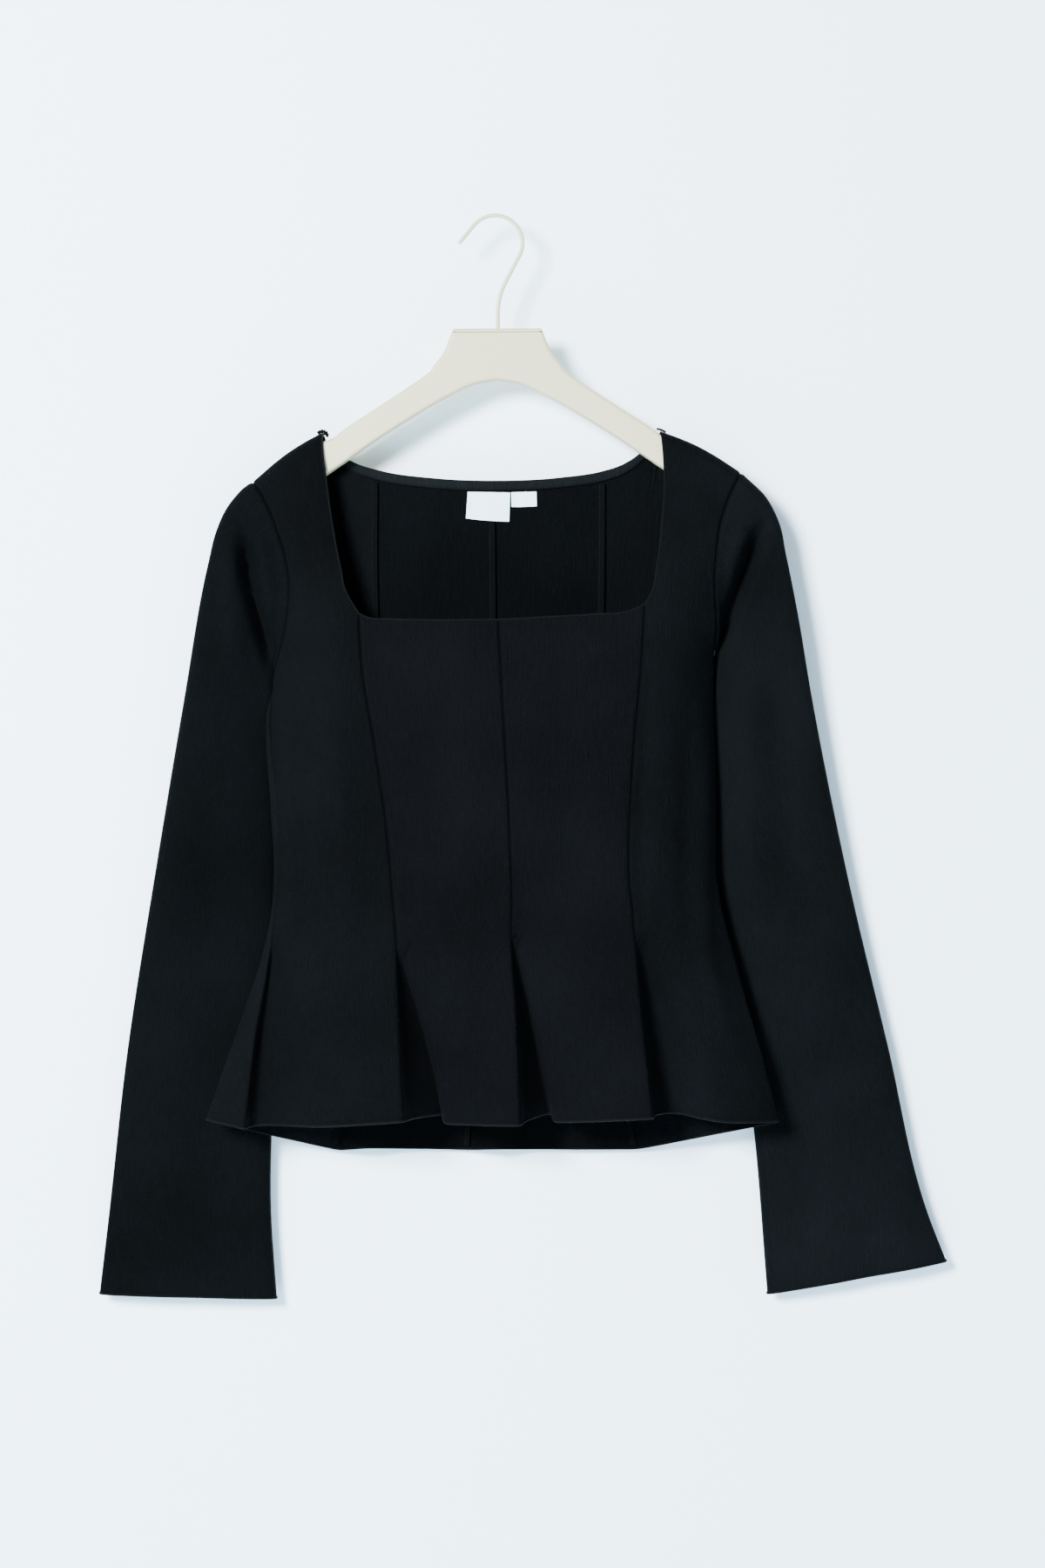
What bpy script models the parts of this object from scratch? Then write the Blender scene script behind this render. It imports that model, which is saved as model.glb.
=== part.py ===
"""A long-sleeved peplum top on a moulded hanger, each cut piece of the garment a thin wall of its own.

The origin is the inside top of the hanger's hook, +Z is up and the front of the garment faces -Y.
Tables and sizes are in millimetres. Left is -X, as one sees the garment from the front.
"""

import math

import bpy
import numpy as np

# Driving sizes
MM = 0.001
WALL = 1.4
SEAM_GAP = 0.3
SEAT = 0.3
TAPE_THICK = 0.9
LABEL_THICK = 0.6

# Stations down the garment, counted from the neck point: where the ridge over the hanger's arm ends, the
# front neckline, the underarm, and where the body's round sides have opened into the flared hem
RIDGE_END = 9
NECKLINE = 143
UNDERARM = 182
SIDE_OPENS = (330, 450)
UPPER_STATIONS = (0, 1.2, 4, 9, 30, 55, 85, 108, 123, 135)
LOWER_STATIONS = (143, 158, 172, 182, 200, 225, 260, 300, 345, 380, 400, 420, 440, 465, 490, 518, 545)

# Hanger
HANGER_TILT = math.radians(0.3)
HANGER_HALF_THICK = 6.5
HANGER_ROUNDING = 4.0
HOOK_WIRE = 3.2
HOOK_RADIUS = 21.8
HOOK_ARC = (-28, 140)
HOOK_TIP = 19
HOOK_FILLET = 14
# The middle of the hook's round stretch and of its stem
HOOK_CENTRE_X = -1.5
STEM_X = 0.4
PLATE_TOP = -88.5
# columns: distance from the middle, height of the top edge; the arms go on inside the shoulders
HANGER_TOP_EDGE = (
    (35, -88.5),
    (42, -106),
    (50, -117),
    (57, -125),
    (90, -147),
    (120, -166.5),
    (131, -174.8),
    (145, -179),
    (158, -185),
    (172, -194),
    (186, -205.5),
    (193, -212),
    (202, -221),
)
# columns: distance from the middle, height of the lower edge
HANGER_LOWER_EDGE = (
    (205, -232),
    (198, -239),
    (185, -236),
    (135, -203),
    (95, -175.5),
    (57, -152),
    (37, -141),
    (19, -132.5),
    (0, -129),
)

# Seams, columns: station, x, y, z
ARMHOLE_LEFT = (
    (0, -193, -8.6, -210),
    (9, -188, -8.8, -217),
    (50, -172.5, -11, -250),
    (90, -164, -13, -282),
    (125, -164, -12.5, -310),
    (155, -168, -8, -334),
    (182, -174.5, 2, -355.5),
)
ARMHOLE_RIGHT = (
    (0, 193, -8.6, -202.5),
    (9, 189, -8.8, -210),
    (50, 177, -11, -241),
    (90, 172.5, -13, -273.5),
    (125, 172, -12.5, -299),
    (155, 173.5, -8, -321.5),
    (182, 172.5, 2, -342),
)
SIDE_LEFT = (
    (182, -174.5, 2, -355.5),
    (225, -178.5, 0, -395),
    (300, -172.5, -5, -470),
    (350, -171.5, -8, -520),
    (420, -179.5, -18, -589),
    (480, -189, -27, -649),
    (545, -196.5, -34, -718.5),
)
SIDE_RIGHT = (
    (182, 172.5, 2, -342),
    (225, 171.5, 2, -392),
    (300, 173, 1, -470),
    (350, 173.5, 0, -520),
    (420, 189, -5, -590),
    (480, 205.5, -9, -650),
    (545, 222, -12, -715),
)
NECK_SIDE_LEFT = (
    (0, -138, -8.6, -171),
    (9, -138, -8.8, -179),
    (50, -134, -12, -212),
    (90, -129, -16, -246.5),
    (120, -122.5, -21, -279),
    (135, -117, -24, -300.5),
    (143, -108, -26, -315),
)
NECK_SIDE_RIGHT = (
    (0, 130, -8.6, -170),
    (9, 131, -8.8, -178.5),
    (50, 132.5, -12, -212),
    (90, 130.5, -16, -243),
    (120, 126, -21, -279),
    (135, 122, -24, -298.5),
    (143, 116, -26, -308),
)
PRINCESS_FRONT_LEFT = (
    (143, -108, -26, -315),
    (200, -105, -30, -360),
    (260, -94, -29, -423),
    (300, -87, -27, -470),
    (350, -82, -28, -519),
    (400, -77.5, -33, -571),
    (460, -75, -41, -627),
    (545, -71, -48, -711),
)
PRINCESS_FRONT_RIGHT = (
    (143, 116, -26, -308),
    (200, 113.5, -30, -360),
    (260, 107.5, -29, -423),
    (300, 104.5, -27, -470),
    (350, 103.5, -28, -519),
    (400, 109.5, -32, -571),
    (460, 114, -40, -627),
    (545, 122.5, -47, -708.5),
)
CENTRE_FRONT = (
    (143, 1.5, -28, -320),
    (200, 3.5, -32, -360),
    (300, 9.5, -31, -470),
    (350, 11.5, -31, -519),
    (400, 13, -35, -571),
    (460, 16.5, -42, -627),
    (545, 19, -48, -714),
)
PRINCESS_BACK_LEFT = (
    (0, -95, 11, -200),
    (143, -94, 14, -316),
    (300, -84, 18, -470),
    (400, -96, 21, -575),
    (545, -127, 28, -742),
)
CENTRE_BACK = (
    (0, -2, 12.5, -209),
    (143, -1, 15, -316),
    (300, -3, 19, -470),
    (400, -8, 23, -575),
    (545, -21, 31, -742),
)
PRINCESS_BACK_RIGHT = (
    (0, 86, 11, -200.5),
    (143, 85, 14, -316),
    (300, 80, 18, -470),
    (400, 92, 21, -575),
    (545, 112, 28, -741.5),
)

# Free edges at the neck, columns: x, y, z
NECK_FRONT = (
    (-108, -26, -315),
    (-102, -26.5, -318),
    (-86, -27, -319.5),
    (-48, -27.5, -320.5),
    (1.5, -28, -320),
    (40, -28, -318),
    (75, -27.5, -316),
    (106, -26.5, -312.5),
    (116, -26, -308),
)
NECK_BACK = (
    (-138, 0, -171),
    (-137, 8.4, -173.5),
    (-134, 9.6, -178),
    (-128, 10, -183.5),
    (-115, 10.4, -193),
    (-95, 11, -200),
    (-50, 12, -207),
    (-2, 12.5, -209),
    (50, 12, -206.5),
    (86, 11, -200.5),
    (100, 10.7, -194.5),
    (112, 10.4, -187),
    (120.5, 10, -179.5),
    (126.5, 9.8, -174.8),
    (129, 8.6, -171.4),
    (130, 0, -170),
)
SHOULDER_HUMP = 3.5
SIDE_CROWDING = 1.35
SIDE_ROUNDNESS = 2.6
# How far below the edge its form still shows in the rows of the panel
STRAP_FADE = 90
BACK_FADE = 150
BACK_DEPTH_FADE = 60
NECKLINE_FADE = 25
# The back half of the armhole lies a little further out and is deeper than the front half
BACK_ARMHOLE_SWELL = 4
BACK_ARMHOLE_DEPTH = 4
# Columns across a panel, and how far it swells between its seams
SIDE_COLUMNS = 8
CENTRE_COLUMNS = 7
FRONT_SIDE_BULGE = -2.5
FRONT_CENTRE_BULGE = -1
BACK_SIDE_BULGE = 1.5
BULGE_EASE = 60
# Where a side back panel's columns stand along its stretch of the neckline
NECK_COLUMN_SHARES = (0.024, 0.22, 0.6, 1)

# Fold lines of the flared hem, columns: station, x, y, z. A trough runs down right of each front seam
# and the next lobe of cloth starts at its far edge.
TROUGH_SIDE_LEFT = (
    (385, -171, -15, -555),
    (440, -177.5, -14, -609),
    (500, -179, -10, -669.5),
    (545, -177.5, -8, -718),
)
LOBE_SIDE_LEFT = (
    (385, -163, -18, -555),
    (440, -166, -24, -609),
    (500, -160.5, -26, -668),
    (545, -155.5, -26, -717),
)
TROUGH_CENTRE_LEFT = (
    (385, -58, -32.5, -557),
    (415, -66, -31, -586),
    (450, -68, -21, -618.5),
    (500, -61.5, -13, -669),
    (545, -55, -10, -712.5),
)
LOBE_CENTRE_LEFT = (
    (385, -46, -33.5, -557),
    (415, -55, -35, -586),
    (450, -57.5, -31.5, -621),
    (500, -48.5, -29, -672),
    (545, -39.5, -28, -713.5),
)
TROUGH_CENTRE_RIGHT = (
    (375, 34, -33, -546),
    (410, 27, -33, -581),
    (450, 24, -22, -618),
    (500, 28, -16, -669),
    (545, 31.5, -13, -712),
)
LOBE_CENTRE_RIGHT = (
    (375, 47, -33, -546),
    (410, 36, -36, -581),
    (450, 31, -32.5, -619),
    (500, 37, -30, -670),
    (545, 45, -29, -712),
)
TROUGH_SIDE_RIGHT = (
    (385, 112, -28, -555),
    (440, 121, -18, -609),
    (500, 131, -11, -669),
    (545, 145, -9, -710),
)
LOBE_SIDE_RIGHT = (
    (385, 129, -27, -553),
    (440, 146.5, -28, -608),
    (500, 160, -30, -667.5),
    (545, 171, -32, -713),
)
TURN_LEFT = (
    (182, -177, 3.5, -361),
    (240, -182.5, 4, -410),
    (300, -180, 5, -470),
    (350, -178, 5, -520),
    (380, -179.5, 3, -550),
    (420, -188.5, -2, -590),
    (460, -202.5, -8, -629.5),
    (545, -234.5, -15, -711.5),
)
REACH_BACK_LEFT = (
    (182, -150, 12.5, -352),
    (300, -150, 15, -470),
    (420, -160, 11, -592),
    (545, -182, 8, -727),
)
REACH_BACK_RIGHT = (
    (182, 148, 12.5, -350),
    (300, 148, 15, -470),
    (420, 156, 11, -592),
    (545, 178, 8, -726),
)
TROUGH_BACK_LEFT = (
    (400, -90, 19, -577),
    (470, -97, 13, -652),
    (545, -104, 9, -738),
)
LOBE_BACK_LEFT = (
    (400, -78, 22, -577),
    (470, -83, 23, -652),
    (545, -86, 24, -740),
)
TROUGH_BACK_RIGHT = (
    (400, -1, 20, -577),
    (470, 0, 14, -652),
    (545, 2, 11, -739),
)
LOBE_BACK_RIGHT = (
    (400, 9, 23, -577),
    (470, 13, 25, -652),
    (545, 17, 26, -741),
)
FOLD_EASE = 45
# Where the fold lines lie across their panels, as shares of the panel's width
FRONT_SIDE_LEFT_FOLDS = ((0.25, TROUGH_SIDE_LEFT), (0.375, LOBE_SIDE_LEFT))
FRONT_CENTRE_LEFT_FOLDS = ((2 / 7, TROUGH_CENTRE_LEFT), (3 / 7, LOBE_CENTRE_LEFT))
FRONT_CENTRE_RIGHT_FOLDS = ((2 / 7, TROUGH_CENTRE_RIGHT), (3 / 7, LOBE_CENTRE_RIGHT))
FRONT_SIDE_RIGHT_FOLDS = ((0.25, TROUGH_SIDE_RIGHT), (0.5, LOBE_SIDE_RIGHT))
BACK_SIDE_LEFT_FOLDS = ((0.2, TURN_LEFT), (0.55, REACH_BACK_LEFT))
BACK_SIDE_RIGHT_FOLDS = ((0.55, REACH_BACK_RIGHT),)
BACK_CENTRE_LEFT_FOLDS = ((2 / 7, TROUGH_BACK_LEFT), (3 / 7, LOBE_BACK_LEFT))
BACK_CENTRE_RIGHT_FOLDS = ((2 / 7, TROUGH_BACK_RIGHT), (3 / 7, LOBE_BACK_RIGHT))

# Sleeves, columns: fraction down the sleeve, x, y, z
OUTER_LEFT = (
    (0, -193, 0, -210),
    (0.012, -200.5, 0, -214.5),
    (0.03, -213, 1, -228),
    (0.056, -221.5, 2, -245),
    (0.1, -228.5, 3, -272.5),
    (0.27, -248, 8, -380),
    (0.48, -272, 16, -518),
    (0.69, -294.5, 21, -657.5),
    (0.91, -310.5, 22, -797),
    (1, -317.5, 22, -856),
)
INNER_LEFT = (
    (0, -174.5, 2, -355.5),
    (0.004, -176.5, 4.5, -356),
    (0.012, -178, 8.5, -360.5),
    (0.03, -179.5, 12.5, -374),
    (0.06, -179, 15, -396),
    (0.12, -179, 17.5, -425),
    (0.32, -177, 20, -518),
    (0.6, -178, 23, -657),
    (0.88, -180.5, 23, -797),
    (1, -176, 22, -859.5),
)
OUTER_RIGHT = (
    (0, 193, 0, -202.5),
    (0.01, 200, 0, -208.5),
    (0.03, 213.5, 1, -221),
    (0.053, 222.5, 2, -237),
    (0.1, 229, 3, -265),
    (0.17, 238, 4, -310.5),
    (0.285, 250, 8, -379.5),
    (0.5, 278.5, 16, -518),
    (0.73, 312, 21, -657.5),
    (0.95, 346, 22, -797),
    (1, 359, 22, -830),
)
INNER_RIGHT = (
    (0, 172.5, 2, -342),
    (0.004, 174.5, 4.5, -342.5),
    (0.012, 175.5, 8.5, -347),
    (0.03, 175.5, 12.5, -361),
    (0.06, 173, 15, -384),
    (0.21, 171, 18, -448.5),
    (0.33, 173.5, 20, -511.5),
    (0.45, 184, 21, -574),
    (0.75, 205.5, 23.5, -725),
    (1, 216, 22, -856),
)
# columns: fraction down the sleeve, half its thickness
SLEEVE_DEPTH = ((0, 12), (0.05, 13.5), (0.2, 13), (0.5, 10.5), (1, 8))
UPPER_RINGS = (0, 0.007, 0.018, 0.03, 0.045, 0.065, 0.09, 0.13, 0.19)
LOWER_RINGS = (0.27, 0.38, 0.5, 0.62, 0.75, 0.87, 0.95, 1)
SLEEVE_SQUARENESS = 0.7
ARMHOLE_FADE = 0.16
# More room at the armhole where sleeve and body fold back on each other
FOLD_CLEARANCE = 1.2
# The crease where the hanging sleeve turns under the arm: places down and round the sleeve, width, depth
CREASE_DOWN = 0.03
CREASE_WIDTH = 0.018
CREASE_ROUND = (80, 150)
CREASE_DEPTH = 9

# The crease also draws the sleeve in towards the body, by this share of its depth
CREASE_INWARD = 0.25

# The neck tape starts this share of its width under the neckline
TAPE_TOP_SHARE = 0.08
# Labels, columns: lowest x, highest x, highest z, lowest z; then their points across and down
NECK_LABEL = (-25.5, 10.5, -216.4, -241.5)
SIZE_LABEL = (11.2, 33, -216.4, -229.5)
LABEL_POINTS = (5, 4)

# Colours, in linear red, green and blue, with roughness and metallic value
BLACK_JERSEY = ((0.009, 0.012, 0.014), 0.85, 0.0)
LABEL_WHITE = ((0.82, 0.83, 0.82), 0.7, 0.0)
HANGER_CREAM = ((0.72, 0.70, 0.64), 0.5, 0.0)
HOOK_CREAM = ((0.68, 0.67, 0.62), 0.35, 0.3)


def cubic(knots, values, places):
    """A smooth curve through values at knots, read at places. Its slope at a knot is its neighbours'."""
    knots = np.asarray(knots, float)
    values = np.asarray(values, float)
    places = np.atleast_1d(np.asarray(places, float))
    slopes = np.gradient(values, knots, axis=0)
    i = np.clip(np.searchsorted(knots, places, side="right") - 1, 0, len(knots) - 2)
    span = knots[i + 1] - knots[i]
    t = ((np.clip(places, knots[0], knots[-1]) - knots[i]) / span)[:, None]
    span = span[:, None]
    start = (1 + 2 * t) * (1 - t) ** 2 * values[i] + t * (1 - t) ** 2 * span * slopes[i]
    end = t * t * (3 - 2 * t) * values[i + 1] + t * t * (t - 1) * span * slopes[i + 1]
    return start + end


def read(rows, places):
    """Points of a table whose first column is the place and whose others are x, y and z."""
    table = np.array(rows, float)
    return cubic(table[:, 0], table[:, 1:], places)


def ease(value):
    """Goes smoothly from 0 to 1 as the value does."""
    value = np.clip(value, 0, 1)
    return value * value * (3 - 2 * value)


def joined(upper, lower, split, stations):
    """Two tables that meet in a corner at the station split, read at the stations."""
    stations = np.asarray(stations, float)
    points = read(lower, stations)
    above = stations < split
    points[above] = read(upper, stations[above]) if above.any() else points[above]
    return points


def mirrored_depth(rows, shift):
    """The back half of an armhole: the front half's heights, behind the middle and a little further out."""
    last = rows[-1][0]
    table = []
    for station, x, y, z in rows:
        swell = math.sin(math.pi * station / last)
        table.append((station, x + shift * swell, abs(y) + BACK_ARMHOLE_DEPTH * swell, z))
    return tuple(table)


def edge_rise(rows, base):
    """How far an edge table (x, y, z) lies from the points of base with the same x."""
    table = np.array(rows, float)
    along = cubic(table[:, 0], table[:, 1:], base[:, 0])
    return np.column_stack((np.zeros(len(base)), along - base[:, 1:]))


def column_places(columns, round_side):
    """Shares of a panel's width at its columns, closer together towards the body's side."""
    places = np.linspace(0, 1, columns + 1)
    if round_side == "left":
        return places**SIDE_CROWDING
    if round_side == "right":
        return 1 - (1 - places) ** SIDE_CROWDING
    return places


def panel_grid(left, right, stations, columns, folds=(), round_side=None, bulge=0.0):
    """Points [row, column] between two seams. Folds are (column share, table) lines that the cloth passes
    through, and round_side says at which seam the cloth turns round the body's side."""
    stations = np.asarray(stations, float)
    places = column_places(columns, round_side)
    grid = left[:, None] * (1 - places)[None, :, None] + right[:, None] * places[None, :, None]
    depth = right[:, 1] - left[:, 1]
    side_fade = 1 - ease((stations - SIDE_OPENS[0]) / (SIDE_OPENS[1] - SIDE_OPENS[0]))
    if round_side == "left":
        turned = 1 - (1 - places) ** SIDE_ROUNDNESS
        grid[:, :, 1] += (depth * side_fade)[:, None] * (turned - places)[None]
    if round_side == "right":
        turned = places**SIDE_ROUNDNESS
        grid[:, :, 1] += (depth * side_fade)[:, None] * (turned - places)[None]
    grid[:, :, 1] += bulge * ease(stations / BULGE_EASE)[:, None] * np.sin(math.pi * places)[None]
    if not folds:
        return grid
    knots = np.array([0.0] + [share for share, _ in folds] + [1.0])
    shares = np.linspace(0, 1, columns + 1)
    for row, station in enumerate(stations):
        offsets = np.zeros((len(knots), 3))
        for i, (share, table) in enumerate(folds):
            start = table[0][0]
            weight = 1 - ease(1 - (station - start) / FOLD_EASE)
            if weight <= 0:
                continue
            at_share = np.array([np.interp(share, shares, grid[row, :, axis]) for axis in range(3)])
            offsets[i + 1] = weight * (read(table, station)[0] - at_share)
        for axis in range(3):
            grid[row, :, axis] += np.interp(shares, knots, offsets[:, axis])
    return grid


def ridge(grid, stations, share=None):
    """Rounds the cloth over the hanger's arm: the depth falls to nothing at the shoulder seam."""
    drop = np.clip(1 - np.asarray(stations, float) / RIDGE_END, 0, 1)
    factor = np.sqrt(1 - drop**2)[:, None]
    share = np.ones(grid.shape[1]) if share is None else share
    grid[:, :, 1] *= 1 - (1 - factor) * share[None]
    return grid


def normals(grid, outward):
    """Unit normals of a grid, outward is 1 or -1."""
    across = np.gradient(grid, axis=1)
    down = np.gradient(grid, axis=0)
    cross = np.cross(across, down) * outward
    return cross / np.maximum(np.linalg.norm(cross, axis=2, keepdims=True), 1e-9)


def ring_normals(grid, outward):
    """As normals, for a grid whose last column meets its first."""
    wide = np.concatenate((grid[:, -1:], grid, grid[:, :1]), axis=1)
    return normals(wide, outward)[:, 1:-1]


def weld_normals(pieces):
    """Gives the points that two pieces share one normal, so their walls meet face to face."""
    points = np.concatenate([grid.reshape(-1, 3) for grid, _ in pieces])
    given = np.concatenate([normal.reshape(-1, 3) for _, normal in pieces])
    _, place = np.unique(np.round(points, 2), axis=0, return_inverse=True)
    place = place.ravel()
    total = np.zeros((place.max() + 1, 3))
    np.add.at(total, place, given)
    total /= np.maximum(np.linalg.norm(total, axis=1, keepdims=True), 1e-9)
    start = 0
    for _, normal in pieces:
        count = normal.shape[0] * normal.shape[1]
        normal[:] = total[place[start : start + count]].reshape(normal.shape)
        start += count


def draw_in(grid, normal, edges):
    """Moves the named edges of a grid into the piece by half the seam gap."""
    moved = grid.copy()
    sides = {
        "left": (np.s_[:, 0], np.s_[:, 1]),
        "right": (np.s_[:, -1], np.s_[:, -2]),
        "top": (np.s_[0], np.s_[1]),
    }
    for edge in edges:
        at, beside = sides[edge]
        inward = grid[beside] - grid[at]
        along = np.gradient(grid[at], axis=0)
        across = np.cross(normal[at], along)
        across /= np.maximum(np.linalg.norm(across, axis=1, keepdims=True), 1e-9)
        across *= np.sign(np.sum(across * inward, axis=1, keepdims=True))
        moved[at] += across * SEAM_GAP / 2
    return moved


def material(name, finish):
    """A Principled material from a colour, a roughness and a metallic value."""
    colour, roughness, metallic = finish
    made = bpy.data.materials.new(name)
    made.use_nodes = True
    shader = made.node_tree.nodes["Principled BSDF"]
    shader.inputs["Base Color"].default_value = (*colour, 1)
    shader.inputs["Roughness"].default_value = roughness
    shader.inputs["Metallic"].default_value = metallic
    return made


def add_object(name, points, faces, finish, sharp=50):
    """One closed body from points in millimetres, shaded smooth."""
    mesh = bpy.data.meshes.new(name)
    mesh.from_pydata((np.asarray(points) * MM).tolist(), [], faces)
    mesh.materials.append(material(name + "_finish", finish))
    mesh.shade_smooth()
    mesh.set_sharp_from_angle(angle=math.radians(sharp))
    body = bpy.data.objects.new(name, mesh)
    bpy.context.collection.objects.link(body)
    return body


def wall(name, grid, normal, finish, thick=WALL, closed=False, outward=1):
    """A wall of even thickness about a grid of points. A closed grid is a tube, else a sheet."""
    rows, columns, _ = grid.shape
    outer = (grid + normal * thick / 2).reshape(-1, 3)
    inner = (grid - normal * thick / 2).reshape(-1, 3)
    count = rows * columns
    faces = []
    spans = columns if closed else columns - 1
    for r in range(rows - 1):
        for c in range(spans):
            a, b = r * columns + c, r * columns + (c + 1) % columns
            d, e = a + columns, b + columns
            faces.append((a, b, e, d))
            faces.append((count + a, count + d, count + e, count + b))
    for c in range(spans):
        a, b = c, (c + 1) % columns
        faces.append((a, count + a, count + b, b))
        a, b = a + count - columns, b + count - columns
        faces.append((a, b, count + b, count + a))
    if not closed:
        for r in range(rows - 1):
            a, d = r * columns, (r + 1) * columns
            faces.append((a, d, count + d, count + a))
            a, d = a + columns - 1, d + columns - 1
            faces.append((a, count + a, count + d, d))
    if outward < 0:
        faces = [face[::-1] for face in faces]
    return add_object(name, np.concatenate((outer, inner)), faces, finish)


def shoulder_points(tip, neck, columns):
    """The shoulder seam from the shoulder's tip to the neck point, risen a little in its middle."""
    share = column_places(columns, "left")
    line = np.outer(1 - share, tip) + np.outer(share, neck)
    line[:, 2] += SHOULDER_HUMP * np.sin(math.pi * share)
    return line


def shoulder_rise(grid, stations, columns, round_side):
    """Lifts the upper rows of a front strap to the shoulder seam's hump, which fades downwards."""
    share = column_places(columns, round_side)
    fade = (1 - np.clip(stations / STRAP_FADE, 0, 1)) ** 2
    grid[:, :, 2] += SHOULDER_HUMP * np.sin(math.pi * share)[None] * fade[:, None]


def back_side(armhole, side, princess, neck_point, folds, mirror=False):
    """A side back panel: the top row runs along the shoulder to the neck point, then down the neckline."""
    stations = np.array(UPPER_STATIONS + LOWER_STATIONS, float)
    neck_x, _, neck_z = neck_point
    outer = joined(armhole, side, UNDERARM, stations)
    inner = read(princess, stations)
    columns = SIDE_COLUMNS + len(NECK_COLUMN_SHARES)
    grid = panel_grid(outer, inner, stations, columns, folds, "left", BACK_SIDE_BULGE)
    seam = shoulder_points(outer[0], np.array([neck_x, outer[0, 1], neck_z]), SIDE_COLUMNS)
    across = neck_x + np.array(NECK_COLUMN_SHARES) * (inner[0, 0] - neck_x)
    table = np.array(NECK_BACK, float)
    neck = np.column_stack((across, cubic(table[:, 0], table[:, 1:], across)))
    rise = np.concatenate((seam, neck)) - grid[0]
    far = 1 - ease(stations / BACK_FADE)
    near = (1 - np.clip(stations / BACK_DEPTH_FADE, 0, 1)) ** 2
    fade = np.stack((far, near, far), axis=1)
    grid += rise[None] * fade[:, None, :]
    on_hanger = np.concatenate((np.ones(SIDE_COLUMNS + 1), np.zeros(len(NECK_COLUMN_SHARES))))
    grid = ridge(grid, stations, on_hanger)
    return grid[:, ::-1] if mirror else grid


def front_side(armhole, side, neck, princess, folds, mirror=False):
    """A side front panel with its strap: from the shoulder seam down between armhole and neckline."""
    stations = np.array(UPPER_STATIONS + LOWER_STATIONS, float)
    outer = joined(armhole, side, UNDERARM, stations)
    inner = joined(neck, princess, NECKLINE, stations)
    left, right = (inner, outer) if mirror else (outer, inner)
    round_side = "right" if mirror else "left"
    grid = panel_grid(left, right, stations, SIDE_COLUMNS, folds, round_side, FRONT_SIDE_BULGE)
    shoulder_rise(grid, stations, SIDE_COLUMNS, round_side)
    return ridge(grid, stations)


def centre_panel(left, right, stations, neck, folds, bulge):
    """A centre panel, whose top edge follows the neckline."""
    stations = np.array(stations, float)
    left_seam = read(left, stations)
    right_seam = read(right, stations)
    grid = panel_grid(left_seam, right_seam, stations, CENTRE_COLUMNS, folds, None, bulge)
    rise = edge_rise(neck, grid[0])
    fade = (1 - np.clip((stations - stations[0]) / NECKLINE_FADE, 0, 1)) ** 2
    return grid + rise[None] * fade[:, None, None]


def sleeve_grid(outer, inner, loop, toward):
    """Rings from the armhole loop to the cuff. A ring is a flat oval between the sleeve's outer and
    inner line, its front before and its back behind them. The first ring is the armhole itself."""
    rings = np.array(UPPER_RINGS + LOWER_RINGS)
    outer_line = read(outer, rings)
    inner_line = read(inner, rings)
    drop = (loop[0, 2] - loop[:, 2]) / (loop[0, 2] - loop[:, 2].min())
    half_count = int(np.argmin(loop[:, 2]))
    angle = np.arccos(np.clip(1 - 2 * drop, -1, 1))
    angle[half_count + 1 :] = 2 * math.pi - angle[half_count + 1 :]
    middle = (outer_line + inner_line) / 2
    half = (outer_line - inner_line) / 2
    depth = np.interp(rings, *np.array(SLEEVE_DEPTH, float).T)
    sine = np.sign(np.sin(angle)) * np.abs(np.sin(angle)) ** SLEEVE_SQUARENESS
    grid = middle[:, None] + half[:, None] * np.cos(angle)[None, :, None]
    grid[:, :, 1] -= depth[:, None] * sine[None]
    fade = (1 - np.clip(rings / ARMHOLE_FADE, 0, 1)) ** 2
    grid += (loop - grid[0])[None] * fade[:, None, None]
    low, high = np.radians(CREASE_ROUND)
    across = ease((angle - low) / (high - low)) * (angle < math.pi + 0.01)
    down = np.exp(-(((rings - CREASE_DOWN) / CREASE_WIDTH) ** 2)) * (rings > 0)
    grid[:, :, 1] += CREASE_DEPTH * down[:, None] * across[None]
    grid[:, :, 0] += toward * CREASE_INWARD * CREASE_DEPTH * down[:, None] * across[None]
    return grid


def swept_wire(path, radius, sides):
    """A round wire along a flat path in the XZ plane, with flat ends."""
    along = np.gradient(path, axis=0)
    along /= np.linalg.norm(along, axis=1, keepdims=True)
    aside = np.cross(along, (0, 1, 0))
    angle = np.linspace(0, 2 * math.pi, sides, endpoint=False)
    ring = aside[:, None] * np.cos(angle)[None, :, None] + np.array((0, 1, 0)) * np.sin(angle)[None, :, None]
    points = (path[:, None] + radius * ring).reshape(-1, 3)
    faces = []
    for r in range(len(path) - 1):
        for c in range(sides):
            a, b = r * sides + c, r * sides + (c + 1) % sides
            faces.append((a, a + sides, b + sides, b))
    faces.append(tuple(range(sides)))
    last = (len(path) - 1) * sides
    faces.append(tuple(range(last + sides - 1, last - 1, -1)))
    return points, faces


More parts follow.
